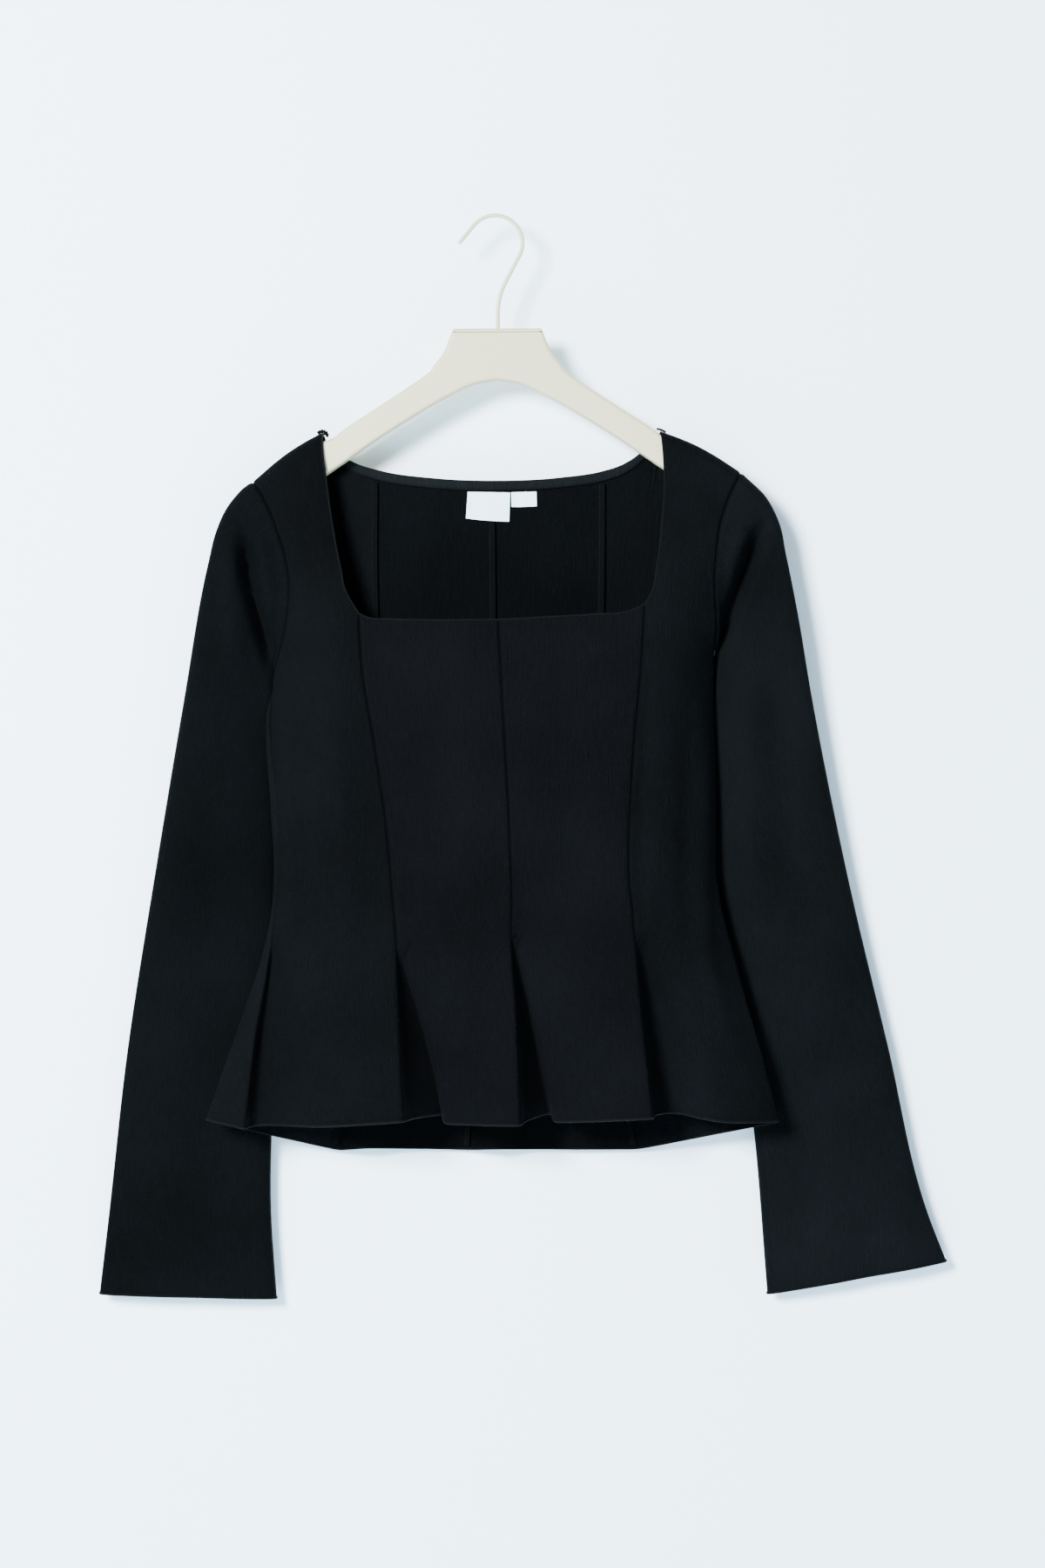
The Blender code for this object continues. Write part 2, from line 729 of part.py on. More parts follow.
def hook_path():
    """The hook's middle line: stem, a bend, a slant, the round hook and its open tip."""
    centre = np.array([HOOK_CENTRE_X, -(HOOK_RADIUS - HOOK_WIRE / 2)])
    low, high = np.radians(HOOK_ARC)
    turn = np.linspace(low, high, 17)
    arc = centre + HOOK_RADIUS * np.column_stack((np.cos(turn), np.sin(turn)))
    slant = np.array((math.sin(low), -math.cos(low)))
    reach = (arc[0, 0] - STEM_X) / -slant[0]
    corner = arc[0] + slant * reach
    before = corner - slant * HOOK_FILLET
    after = corner - np.array((0, HOOK_FILLET))
    t = np.linspace(0, 1, 7)[:, None]
    bend = (1 - t) ** 2 * after + 2 * t * (1 - t) * corner + t * t * before
    stem = np.array([[STEM_X, PLATE_TOP + SEAT]])
    ahead = np.array((-math.sin(high), math.cos(high)))
    tip = arc[-1] + ahead * np.array([[0.5], [1.0]]) * HOOK_TIP
    flat = np.concatenate((stem, bend, arc, tip))
    return np.column_stack((flat[:, 0], np.zeros(len(flat)), flat[:, 1]))


def tilted(points):
    """Turns points about the hang point, as the hanger hangs a little lower on its left."""
    cosine, sine = math.cos(HANGER_TILT), math.sin(HANGER_TILT)
    turned = np.array(points, float)
    turned[:, 0] = points[:, 0] * cosine - points[:, 2] * sine
    turned[:, 2] = points[:, 0] * sine + points[:, 2] * cosine
    return turned


def hanger_outline():
    """Half the hanger's outline from its two edge tables, rounded at the arm's end, then its mirror."""
    half = np.array(HANGER_TOP_EDGE + HANGER_LOWER_EDGE, float)
    steps = np.linspace(0, len(half) - 1, 2 * len(half) - 1)
    right = cubic(np.arange(len(half)), half, steps)
    left = right[-2::-1] * (-1, 1)
    return np.concatenate((right, left))


def build_hanger():
    """The moulded body, its outline drawn out to its thickness with rounded edges, and the wire hook."""
    outline = hanger_outline()
    count = len(outline)
    inward = np.gradient(np.concatenate((outline[-1:], outline, outline[:1])), axis=0)[1:-1]
    inward = np.column_stack((inward[:, 1], -inward[:, 0]))
    inward /= np.linalg.norm(inward, axis=1, keepdims=True)
    rings = []
    for angle in np.radians((-90, -60, -30, 0)):
        back = HANGER_ROUNDING * (1 - math.cos(angle))
        depth = -(HANGER_HALF_THICK - HANGER_ROUNDING) + HANGER_ROUNDING * math.sin(angle)
        rings.append((back, depth))
    rings += [(back, -depth) for back, depth in rings[::-1]]
    points = []
    for back, depth in rings:
        flat = outline + inward * back
        points.append(np.column_stack((flat[:, 0], np.full(count, depth), flat[:, 1])))
    faces = []
    for r in range(len(rings) - 1):
        for c in range(count):
            a, b = r * count + c, r * count + (c + 1) % count
            faces.append((a, b, b + count, a + count))
    faces.append(tuple(range(count - 1, -1, -1)))
    last = (len(rings) - 1) * count
    faces.append(tuple(range(last, last + count)))
    add_object("hanger_body", tilted(np.concatenate(points)), faces, HANGER_CREAM)
    wire, wire_faces = swept_wire(hook_path(), HOOK_WIRE / 2, 10)
    add_object("hanger_hook", tilted(wire), wire_faces, HOOK_CREAM)


def body_panels():
    """The grids of the eight body panels, by name."""
    front = (LOWER_STATIONS, NECK_FRONT)
    back = (UPPER_STATIONS + LOWER_STATIONS, NECK_BACK)
    swell = FRONT_CENTRE_BULGE
    left_hole = mirrored_depth(ARMHOLE_LEFT, -BACK_ARMHOLE_SWELL)
    right_hole = mirrored_depth(ARMHOLE_RIGHT, BACK_ARMHOLE_SWELL)
    panels = {}
    panels["front_side_left"] = front_side(
        ARMHOLE_LEFT, SIDE_LEFT, NECK_SIDE_LEFT, PRINCESS_FRONT_LEFT, FRONT_SIDE_LEFT_FOLDS
    )
    panels["front_side_right"] = front_side(
        ARMHOLE_RIGHT, SIDE_RIGHT, NECK_SIDE_RIGHT, PRINCESS_FRONT_RIGHT, FRONT_SIDE_RIGHT_FOLDS, True
    )
    for name, left, right, stations, neck, folds, bulge in (
        ("front_centre_left", PRINCESS_FRONT_LEFT, CENTRE_FRONT, *front, FRONT_CENTRE_LEFT_FOLDS, swell),
        ("front_centre_right", CENTRE_FRONT, PRINCESS_FRONT_RIGHT, *front, FRONT_CENTRE_RIGHT_FOLDS, swell),
        ("back_centre_left", PRINCESS_BACK_LEFT, CENTRE_BACK, *back, BACK_CENTRE_LEFT_FOLDS, 0),
        ("back_centre_right", CENTRE_BACK, PRINCESS_BACK_RIGHT, *back, BACK_CENTRE_RIGHT_FOLDS, 0),
    ):
        panels[name] = centre_panel(left, right, stations, neck, folds, bulge)
    panels["back_side_left"] = back_side(
        left_hole, SIDE_LEFT, PRINCESS_BACK_LEFT, NECK_BACK[0], BACK_SIDE_LEFT_FOLDS
    )
    panels["back_side_right"] = back_side(
        right_hole, SIDE_RIGHT, PRINCESS_BACK_RIGHT, NECK_BACK[-1], BACK_SIDE_RIGHT_FOLDS, True
    )
    return panels


def armhole_loop(front, back, rows):
    """The armhole as one loop of points: down its front from the shoulder, and up its back."""
    return np.concatenate((front[:rows], back[rows - 2 : 0 : -1]))


def part_armhole(grid, normal, clearance):
    """Moves a sleeve's first ring down the sleeve by the clearance that each of its points needs."""
    start = grid[1] - grid[0]
    around = np.gradient(np.concatenate((grid[0, -1:], grid[0], grid[0, :1])), axis=0)[1:-1]
    across = np.cross(normal[0], around)
    across /= np.linalg.norm(across, axis=1, keepdims=True)
    across *= np.sign(np.sum(across * start, axis=1, keepdims=True))
    moved = grid.copy()
    moved[0] += across * clearance
    return moved


def build_tape(shapes):
    """The neck tape: a strip inside the back neckline, from just past one neck point to the other."""
    row = UPPER_STATIONS.index(RIDGE_END)
    past_neck_point = SIDE_COLUMNS + 2
    strips = []
    for name, columns in (
        ("back_side_left", np.s_[past_neck_point:-1]),
        ("back_centre_left", np.s_[0:-1]),
        ("back_centre_right", np.s_[0:-1]),
        ("back_side_right", np.s_[0 : len(NECK_COLUMN_SHARES) - 1]),
    ):
        grid, normal = shapes[name]
        inside = grid - normal * (WALL / 2 + SEAM_GAP + TAPE_THICK / 2)
        strips.append(np.stack((inside[0, columns], inside[row, columns]), axis=0))
    strip = np.concatenate(strips, axis=1)
    strip[0] += TAPE_TOP_SHARE * (strip[1] - strip[0])
    wall("back_neck_tape", strip, normals(strip, 1), BLACK_JERSEY, TAPE_THICK)


def build_labels(shapes):
    """Two blank labels that hang before the back panels, just under the neck tape."""
    cloth = np.concatenate([shapes[name][0] for name in ("back_centre_left", "back_centre_right")], axis=1)
    columns, rows = LABEL_POINTS
    for name, (low_x, high_x, high_z, low_z) in (("neck_label", NECK_LABEL), ("size_label", SIZE_LABEL)):
        x = np.linspace(low_x, high_x, columns)
        z = np.linspace(high_z, low_z, rows)
        depths = np.array([np.interp(x, row[:, 0], row[:, 1]) for row in cloth])
        heights = np.array([np.interp(x, row[:, 0], row[:, 2]) for row in cloth])
        y = np.column_stack([np.interp(-z, -heights[:, i], depths[:, i]) for i in range(len(x))])
        y -= WALL / 2 + SEAM_GAP + LABEL_THICK / 2
        grid = np.stack((np.broadcast_to(x, y.shape), y, np.broadcast_to(z[:, None], y.shape)), axis=2)
        wall(name, grid, normals(grid, 1), LABEL_WHITE, LABEL_THICK)


def build_garment():
    """The eight body panels and two sleeves, then the tape and labels made from the back's points."""
    panels = body_panels()
    sides = {name: -1 if name.startswith("front") else 1 for name in panels}
    shapes = {name: (grid, normals(grid, sides[name])) for name, grid in panels.items()}
    rows = len(UPPER_STATIONS) + LOWER_STATIONS.index(UNDERARM) + 1
    clearances = {}
    for hand, column, side, outer, inner in (
        ("left", 0, -1, OUTER_LEFT, INNER_LEFT),
        ("right", -1, 1, OUTER_RIGHT, INNER_RIGHT),
    ):
        name = "sleeve_" + hand
        front, front_normal = shapes["front_side_" + hand]
        back, back_normal = shapes["back_side_" + hand]
        loop = armhole_loop(front[:, column], back[:, column], rows)
        loop_normal = armhole_loop(front_normal[:, column], back_normal[:, column], rows)
        grid = sleeve_grid(outer, inner, loop, -side)
        normal = ring_normals(grid, side)
        shapes[name] = (grid, normal)
        sides[name] = side
        folded = 1 - np.sum(normal[0] * loop_normal, axis=1, keepdims=True)
        clearances[name] = SEAM_GAP / 2 + FOLD_CLEARANCE * folded / 2
    weld_normals(list(shapes.values()))
    for name in panels:
        grid, normal = shapes[name]
        edges = ("left", "right", "top") if "side" in name else ("left", "right")
        wall(name, draw_in(grid, normal, edges), normal, BLACK_JERSEY, outward=sides[name])
    for name, clearance in clearances.items():
        grid, normal = shapes[name]
        moved = part_armhole(grid, normal, clearance)
        wall(name, moved, normal, BLACK_JERSEY, closed=True, outward=sides[name])
    build_tape(shapes)
    build_labels(shapes)


def clear_scene():
    """Removes what the file opened with."""
    for body in list(bpy.data.objects):
        bpy.data.objects.remove(body, do_unlink=True)


clear_scene()
build_hanger()
build_garment()
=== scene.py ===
"""The looks of a long-sleeved jersey peplum top that hangs on a moulded hanger.

The tables and sizes are in millimetres, in the frame's own axes: the origin is the inside top of the
hanger's hook, +Z is up and the front of the garment faces -Y. Left is -X, as one sees it from the front.
"""

import math

import bpy
import numpy as np
from bpy.props import FloatProperty, FloatVectorProperty, PointerProperty
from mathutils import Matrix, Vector


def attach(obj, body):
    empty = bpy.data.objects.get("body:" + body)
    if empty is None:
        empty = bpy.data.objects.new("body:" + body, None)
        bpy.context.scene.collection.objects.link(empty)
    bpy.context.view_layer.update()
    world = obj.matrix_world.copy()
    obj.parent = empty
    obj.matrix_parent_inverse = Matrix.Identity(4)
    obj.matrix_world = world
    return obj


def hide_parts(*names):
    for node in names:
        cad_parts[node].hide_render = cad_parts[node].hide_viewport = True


bl_info = {
    "name": "Peplum top on a hanger",
    "version": (1, 0, 0),
    "blender": (4, 5, 0),
    "location": "View3D > Sidebar > Peplum top",
    "description": "Builds the cloth, sewing, labels and hanger of a peplum top around its solids",
    "category": "Object",
}

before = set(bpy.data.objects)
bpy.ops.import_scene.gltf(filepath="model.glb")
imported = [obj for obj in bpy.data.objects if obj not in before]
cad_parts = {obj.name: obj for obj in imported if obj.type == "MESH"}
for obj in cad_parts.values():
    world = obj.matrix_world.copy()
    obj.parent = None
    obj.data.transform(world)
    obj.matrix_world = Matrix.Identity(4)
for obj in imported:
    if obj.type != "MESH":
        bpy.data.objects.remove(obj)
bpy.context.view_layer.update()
MM = 0.001

# Stations down the garment, counted from the neck point: where the ridge over the hanger's arm ends, the
# front neckline, the underarm, the hem, and where the body's round sides have opened into the flared hem
RIDGE_END = 9
NECKLINE = 143
UNDERARM = 182
HEM = 545
SIDE_OPENS = (330, 450)
ROW_STEP = 3.0
SIDE_COLUMNS = 36
CENTRE_COLUMNS = 40
BACK_SIDE_COLUMNS = 45

# A sleeve's rings, columns: from and to which fraction down the sleeve, how many
SLEEVE_RINGS = ((0, 0.03, 12), (0.03, 0.2, 34), (0.2, 0.985, 128), (0.985, 1, 9))

# How far the panels are softened, in columns: all over, and where the hem folds
FRONT_SOFTNESS = (2.6, 0.6)
BACK_SOFTNESS = (2.4, 1.4)
SOFTEN_EASE = 70

# The share of the lobes' rounding in the centre back, which swells the other way
BACK_LOBES = -0.6

# How the creases run out: at their ends (a share of their length), below the shoulder (a station) and
# below the sleeve's head (a fraction of its length), and how much of them the sleeve's back has
CREASE_TAPER = 0.3
CREASE_START = 40
SLEEVE_CREASE_START = 0.03
SLEEVE_BACK_SHARE = 0.35
SLEEVE_WAVER = 1.2

# The slight unevenness: how many waves, their length, how far they turn and lean, and their seeds
WAVES = 9
WAVE_LENGTH = (45, 130)
WAVE_TURN = 0.5
WAVE_LEAN = 0.35
FRONT_SEED, BACK_SEED = 5, 8
SLEEVE_SEEDS = {"left": 11, "right": 14}

# Seams, columns: station, x, y, z
ARMHOLE_LEFT = (
    (0, -193, -8.6, -210), (9, -188, -8.8, -217), (50, -172.5, -11, -250), (90, -164, -13, -282),
    (125, -164, -12.5, -310), (155, -168, -8, -334), (182, -174.5, 2, -355.5),
)
ARMHOLE_RIGHT = (
    (0, 193, -8.6, -202.5), (9, 189, -8.8, -210), (50, 177, -11, -241), (90, 172.5, -13, -273.5),
    (125, 172, -12.5, -299), (155, 173.5, -8, -321.5), (182, 172.5, 2, -342),
)
SIDE_LEFT = (
    (182, -174.5, 2, -355.5), (225, -178.5, 0, -395), (300, -172.5, -5, -470), (350, -171.5, -8, -520),
    (420, -179.5, -18, -589), (480, -189, -27, -649), (545, -196.5, -34, -718.5),
)
SIDE_RIGHT = (
    (182, 172.5, 2, -342), (225, 171.5, 2, -392), (300, 173, 1, -470), (350, 173.5, 0, -520),
    (420, 189, -5, -590), (480, 205.5, -9, -650), (545, 222, -12, -715),
)
NECK_SIDE_LEFT = (
    (0, -138, -8.6, -171), (9, -138, -8.8, -179), (50, -134, -12, -212), (90, -129, -16, -246.5),
    (120, -122.5, -21, -279), (135, -117, -24, -300.5), (143, -108, -26, -315),
)
NECK_SIDE_RIGHT = (
    (0, 130, -8.6, -170), (9, 131, -8.8, -178.5), (50, 132.5, -12, -212), (90, 130.5, -16, -243),
    (120, 126, -21, -279), (135, 122, -24, -298.5), (143, 116, -26, -308),
)
PRINCESS_FRONT_LEFT = (
    (143, -108, -26, -315), (200, -105, -30, -360), (260, -94, -29, -423), (300, -87, -27, -470),
    (350, -82, -28, -519), (400, -77.5, -33, -571), (460, -75, -41, -627), (545, -71, -48, -711),
)
PRINCESS_FRONT_RIGHT = (
    (143, 116, -26, -308), (200, 113.5, -30, -360), (260, 107.5, -29, -423), (300, 104.5, -27, -470),
    (350, 103.5, -28, -519), (400, 109.5, -32, -571), (460, 114, -40, -627), (545, 122.5, -47, -708.5),
)
CENTRE_FRONT = (
    (143, 1.5, -28, -320), (200, 3.5, -32, -360), (300, 9.5, -31, -470), (350, 11.5, -31, -519),
    (400, 13, -35, -571), (460, 16.5, -42, -627), (545, 19, -48, -714),
)
PRINCESS_BACK_LEFT = (
    (0, -95, 11, -200), (143, -94, 14, -316), (300, -84, 18, -470), (400, -96, 21, -575),
    (545, -127, 28, -742),
)
CENTRE_BACK = (
    (0, -2, 12.5, -209), (143, -1, 15, -316), (300, -3, 19, -470), (400, -8, 23, -575),
    (545, -21, 31, -742),
)
PRINCESS_BACK_RIGHT = (
    (0, 86, 11, -200.5), (143, 85, 14, -316), (300, 80, 18, -470), (400, 92, 21, -575),
    (545, 112, 28, -741.5),
)

# Free edges at the neck, columns: x, y, z
NECK_FRONT = (
    (-108, -26, -315), (-102, -26.5, -318), (-86, -27, -319.5), (-48, -27.5, -320.5), (1.5, -28, -320),
    (40, -28, -318), (75, -27.5, -316), (106, -26.5, -312.5), (116, -26, -308),
)
NECK_BACK = (
    (-138, 0, -171), (-137, 8.4, -173.5), (-134, 9.6, -178), (-128, 10, -183.5), (-115, 10.4, -192.2),
    (-95, 11, -198.8), (-50, 12, -205.3), (-2, 12.5, -207.2), (50, 12, -204.8), (86, 11, -199.2),
    (100, 10.7, -194.5), (112, 10.4, -187), (120.5, 10, -179.5), (126.5, 9.8, -174.8), (129, 8.6, -171.4),
    (130, 0, -170),
)
SHOULDER_HUMP = 3.5
SIDE_CROWDING = 1.35
SIDE_ROUNDNESS = 2.6
NECK_CROWDING = 2.2
STRAP_FADE = 90
BACK_FADE = 150
BACK_DEPTH_FADE = 60
NECKLINE_FADE = 25
BACK_ARMHOLE_SWELL = 4
BACK_ARMHOLE_DEPTH = 4
FRONT_SIDE_BULGE = -2.5
FRONT_CENTRE_BULGE = -1
BACK_SIDE_BULGE = 1.5
BULGE_EASE = 60

# Fold lines of the flared hem, columns: station, x, y, z. A trough runs down right of each front seam
# and the next lobe of cloth starts at its far edge.
TROUGH_SIDE_LEFT = (
    (385, -172, -10, -555), (440, -181, -10, -609), (500, -187, -12, -669.5), (545, -188, -13, -716.5),
)
LOBE_SIDE_LEFT = (
    (385, -158, -18, -555), (440, -157, -25, -609), (500, -150, -29, -668), (545, -145, -30, -717),
)
TROUGH_CENTRE_LEFT = (
    (380, -77.5, -32, -552), (400, -76, -31, -571.5), (415, -73.5, -28, -586), (430, -70, -24, -600),
    (450, -64, -19, -619.5), (475, -56.8, -12.5, -645), (500, -50.4, -9, -670), (545, -42, -6, -709.5),
)
LOBE_CENTRE_LEFT = (
    (380, -76, -32.5, -552), (400, -74, -34, -571.5), (415, -71.5, -35, -586), (430, -67.5, -34.5, -600),
    (450, -61.5, -33, -619.5), (475, -54, -31, -645), (500, -48, -29.5, -670), (545, -39.5, -28, -714.5),
)
TROUGH_CENTRE_RIGHT = (
    (370, 12.6, -31.5, -542), (385, 13.6, -31.5, -556.5), (400, 15, -30, -571), (415, 17, -27.5, -585.5),
    (430, 20, -24, -600), (450, 24.5, -19.5, -619.5), (475, 29.5, -15.5, -645), (500, 34.5, -12.5, -670),
    (545, 42.5, -10, -708.5),
)
LOBE_CENTRE_RIGHT = (
    (370, 14, -32, -542), (385, 15.2, -33, -556.5), (400, 17, -34.5, -571), (415, 19.2, -35, -585.5),
    (430, 22.5, -34.5, -600), (450, 27, -33, -619.5), (475, 32, -31.5, -645), (500, 36.7, -30, -670),
    (545, 44.7, -29, -713.5),
)
TROUGH_SIDE_RIGHT = (
    (375, 107.5, -27.5, -545), (400, 111, -24, -570), (440, 117, -16, -609), (500, 126, -10, -669),
    (545, 138, -7, -707.5),
)
LOBE_SIDE_RIGHT = (
    (385, 129, -27, -553), (440, 146.5, -28, -608), (500, 160, -30, -667.5), (545, 171, -32, -713),
)
TURN_LEFT = (
    (182, -177, 3.5, -361), (240, -182.5, 4, -410), (300, -180, 5, -470), (350, -178, 5, -520),
    (380, -179.5, 3, -550), (420, -188.5, -2, -590), (460, -202.5, -8, -629.5), (545, -234.5, -15, -711.5),
)
REACH_BACK_LEFT = (
    (182, -150, 12.5, -352), (300, -150, 15, -470), (420, -160, 11, -592), (545, -182, 8, -727),
)
REACH_BACK_RIGHT = (
    (182, 148, 12.5, -350), (300, 148, 15, -470), (420, 156, 11, -592), (545, 178, 8, -726),
)
TROUGH_BACK_LEFT = (
    (400, -90, 19, -577), (470, -97, 13, -652), (545, -104, 9, -738),
)
LOBE_BACK_LEFT = (
    (400, -78, 22, -577), (470, -83, 23, -652), (545, -86, 24, -740),
)
TROUGH_BACK_RIGHT = (
    (400, -1, 20, -577), (470, 0, 14, -652), (545, 2, 11, -739),
)
LOBE_BACK_RIGHT = (
    (400, 9, 23, -577), (470, 13, 25, -652), (545, 17, 26, -741),
)
FOLD_EASE = 40
BRINK = 0.6
KEEN_COLUMNS = 5
FOLDED_FROM = 365
PANELS = ("side_left", "centre_left", "centre_right", "side_right")

# The body panels, columns: name, left seam, right seam, folds as (share of the width, fold line),
# shares between which the panel rounds out as a lobe
FRONT_SIDE_LEFT_FOLDS = ((0.25, TROUGH_SIDE_LEFT), (0.375, LOBE_SIDE_LEFT))
FRONT_CENTRE_LEFT_FOLDS = ((2 / 7, TROUGH_CENTRE_LEFT), (3 / 7, LOBE_CENTRE_LEFT))
FRONT_CENTRE_RIGHT_FOLDS = ((2 / 7, TROUGH_CENTRE_RIGHT), (3 / 7, LOBE_CENTRE_RIGHT))
FRONT_SIDE_RIGHT_FOLDS = ((0.25, TROUGH_SIDE_RIGHT), (0.5, LOBE_SIDE_RIGHT))
BACK_SIDE_LEFT_FOLDS = ((0.2, TURN_LEFT), (0.55, REACH_BACK_LEFT))
BACK_SIDE_RIGHT_FOLDS = ((0.55, REACH_BACK_RIGHT),)
BACK_CENTRE_LEFT_FOLDS = ((2 / 7, TROUGH_BACK_LEFT), (3 / 7, LOBE_BACK_LEFT))
BACK_CENTRE_RIGHT_FOLDS = ((2 / 7, TROUGH_BACK_RIGHT), (3 / 7, LOBE_BACK_RIGHT))
LOBE_ROUNDING = 4.5

# Sleeves, columns: fraction down the sleeve, x, y, z
OUTER_LEFT = (
    (0, -193, 0, -210), (0.012, -200.5, 0, -214.5), (0.03, -213, 1, -228), (0.056, -221.5, 2, -245),
    (0.1, -228.5, 3, -272.5), (0.27, -248, 8, -380), (0.48, -272, 16, -518), (0.69, -294.5, 21, -657.5),
    (0.91, -310.5, 22, -797), (1, -317.5, 22, -856),
)
INNER_LEFT = (
    (0, -174.5, 2, -355.5), (0.004, -176.5, 4.5, -356), (0.012, -178, 8.5, -360.5),
    (0.03, -177, 13.5, -374), (0.06, -176.5, 16.5, -396), (0.12, -176.5, 19, -425), (0.32, -177, 20, -518),
    (0.6, -178, 23, -657), (0.88, -180.5, 23, -797), (1, -176, 22, -859.5),
)
OUTER_RIGHT = (
    (0, 193, 0, -202.5), (0.01, 200, 0, -208.5), (0.03, 213.5, 1, -221), (0.053, 222.5, 2, -237),
    (0.1, 229, 3, -265), (0.17, 238, 4, -310.5), (0.285, 250, 8, -379.5), (0.5, 278.5, 16, -518),
    (0.73, 312, 21, -657.5), (0.95, 346, 22, -797), (1, 359, 22, -830),
)
INNER_RIGHT = (
    (0, 172.5, 2, -342), (0.004, 174.5, 4.5, -342.5), (0.012, 175.5, 8.5, -347), (0.03, 173, 13.5, -361),
    (0.06, 169.5, 17, -384), (0.21, 168, 20, -448.5), (0.33, 171.5, 21.5, -511.5), (0.45, 184, 21, -574),
    (0.75, 205.5, 23.5, -725), (1, 216, 22, -856),
)
# columns: fraction down the sleeve, half its thickness
SLEEVE_DEPTH = ((0, 12), (0.05, 13.5), (0.2, 13), (0.5, 10.5), (1, 8))
SLEEVE_SQUARENESS = 0.7
ARMHOLE_FADE = 0.16
EVEN_ROUND = 0.22
# The crease where the hanging sleeve turns under the arm: places down and round the sleeve, width, depth
CREASE_DOWN = 0.03
CREASE_WIDTH = 0.018
CREASE_ROUND = (80, 150)
CREASE_BACK_FADE = 40
CREASE_DEPTH = 9
CREASE_INWARD = 0.25

# Soft creases, columns: width, depth (below 0 for a ridge), then x and z along the crease
FRONT_CREASES = (
    (8, -3.4, ((160, -340), (163, -400), (163.5, -460), (162, -520), (164, -585), (180, -640), (200, -690))),
    (8, 1.6, ((147, -380), (149, -450), (149, -530), (154, -590))),
    (7, 2.6, ((119, -345), (117, -400), (114, -480), (113, -540), (116, -580))),
    (5, -0.9, ((101, -395), (97, -470), (97, -530), (100, -570))),
    (7, 1.3, ((17, -500), (18, -540), (20, -575))),
    (9, 2.0, ((-148, -330), (-152, -400), (-151, -470), (-150, -560))),
    (8, -2.0, ((-163, -355), (-166, -430), (-163, -500), (-166, -570))),
    (9, -1.1, ((-128, -380), (-122, -450), (-116, -530), (-112, -600))),
    (10, 1.0, ((-70, -490), (-66, -530), (-62, -560))),
    (12, 0.9, ((108, -345), (84, -372), (60, -402), (46, -432))),
    (10, -0.7, ((112, -366), (88, -396), (66, -432))),
    (12, 0.8, ((-98, -345), (-74, -368), (-54, -396), (-40, -424))),
    (8, 0.8, ((-150, -215), (-149, -260), (-146, -310))),
    (8, -0.8, ((-160, -225), (-154, -270), (-152, -305))),
    (8, 0.8, ((148, -215), (150, -255), (148, -300))),
    (9, 0.7, ((-112, -335), (-96, -330), (-70, -331))),
    (9, 0.6, ((104, -322), (86, -327), (66, -329))),
    (11, 0.9, ((-160, -560), (-136, -556), (-112, -560))),
    (11, 0.8, ((140, -556), (124, -552), (108, -556))),
)
BACK_CREASES = (
    (16, 2.0, ((-140, -330), (-118, -380), (-92, -440), (-70, -500))),
    (14, 1.8, ((140, -325), (116, -372), (94, -430), (70, -490))),
    (12, -1.2, ((-120, -350), (-100, -410), (-84, -470))),
    (11, 1.4, ((-60, -470), (-20, -486), (24, -478), (62, -466))),
    (12, 1.2, ((-66, -520), (-24, -530), (20, -526), (60, -514))),
    (10, 1.0, ((-150, -500), (-124, -512), (-100, -520))),
    (10, 1.1, ((150, -492), (126, -506), (98, -514))),
    (12, 1.0, ((-62, -240), (-58, -300), (-50, -360))),
    (12, 1.0, ((52, -240), (50, -310), (44, -360))),
)
LEFT_SLEEVE_CREASES = (
    (5.5, 17.0, ((-201, -240), (-197, -285), (-190, -312), (-182, -340), (-178, -368))),
    (7, -3.6, ((-184, -246), (-179, -285), (-174, -318))),
    (10, -4.0, ((-205, -232), (-211, -275), (-207, -320), (-202, -380))),
    (16, -2.4, ((-231, -300), (-244, -390), (-252, -500), (-262, -620))),
    (15, 1.8, ((-212, -345), (-216, -420), (-222, -520), (-226, -600))),
    (9, 1.2, ((-190, -430), (-206, -446), (-226, -458))),
    (9, 1.0, ((-186, -500), (-200, -512), (-218, -518))),
    (14, -1.2, ((-196, -560), (-200, -660), (-204, -760))),
    (18, 1.3, ((-262, -650), (-264, -730), (-266, -800))),
)
RIGHT_SLEEVE_CREASES = (
    (6.2, 18.0, ((217, -232), (205, -257), (194.5, -287), (185.5, -313), (178.5, -337), (175, -366))),
    (7, -4.2, ((198, -240), (186, -268), (178, -290))),
    (12, 2.4, ((224, -330), (224, -400), (229, -480), (240, -560))),
    (11, -2.6, ((200, -325), (199, -420), (201, -500), (212, -580))),
    (14, -1.4, ((250, -420), (262, -520), (280, -620))),
    (9, 1.1, ((182, -455), (198, -470), (218, -478))),
    (9, 1.0, ((196, -540), (212, -548), (232, -552))),
    (16, 1.6, ((232, -640), (246, -720), (256, -800))),
    (16, -1.2, ((276, -640), (292, -720), (306, -800))),
)
WAVER_DEPTH = 0.7

# Cloth and sewing. AIR is the gap left between two layers
CLOTH = 1.2
SEAM_DIP = 0.8
ARMHOLE_DIP = 1.3
SEAM_DIP_WIDTH = 1.0
SEAM_SWELL = 0.14
SEAM_SWELL_PLACE = 3.2
SEAM_SWELL_WIDTH = 1.6
HEM_ROLL = 1.15
NECK_ROLL = 0.85
STITCH_PITCH = 1.9
ALLOWANCE_WIDTH = 4.0
ALLOWANCE_THICK = 1.0
ALLOWANCE_RISE = 1.7
OVERLOCK = 0.62
OVERLOCK_PITCH = 2.2
AIR = 0.3
TAPE_WIDTH = 8.2
TAPE_FROM = 0.74
TAPE_THICK = 1.1
TAPE_STITCH_LENGTH = 1.9
TAPE_STITCH_PITCH = 2.6
TAPE_STITCH_RADIUS = 0.22
LABEL_THICK = 0.35
LABEL_WAVE = 0.35
LABEL_PUCKER = 0.3
LABEL_STAND_OFF = 0.5
SHARP_FROM = math.radians(50)
JERSEY_SHEEN = 0.002
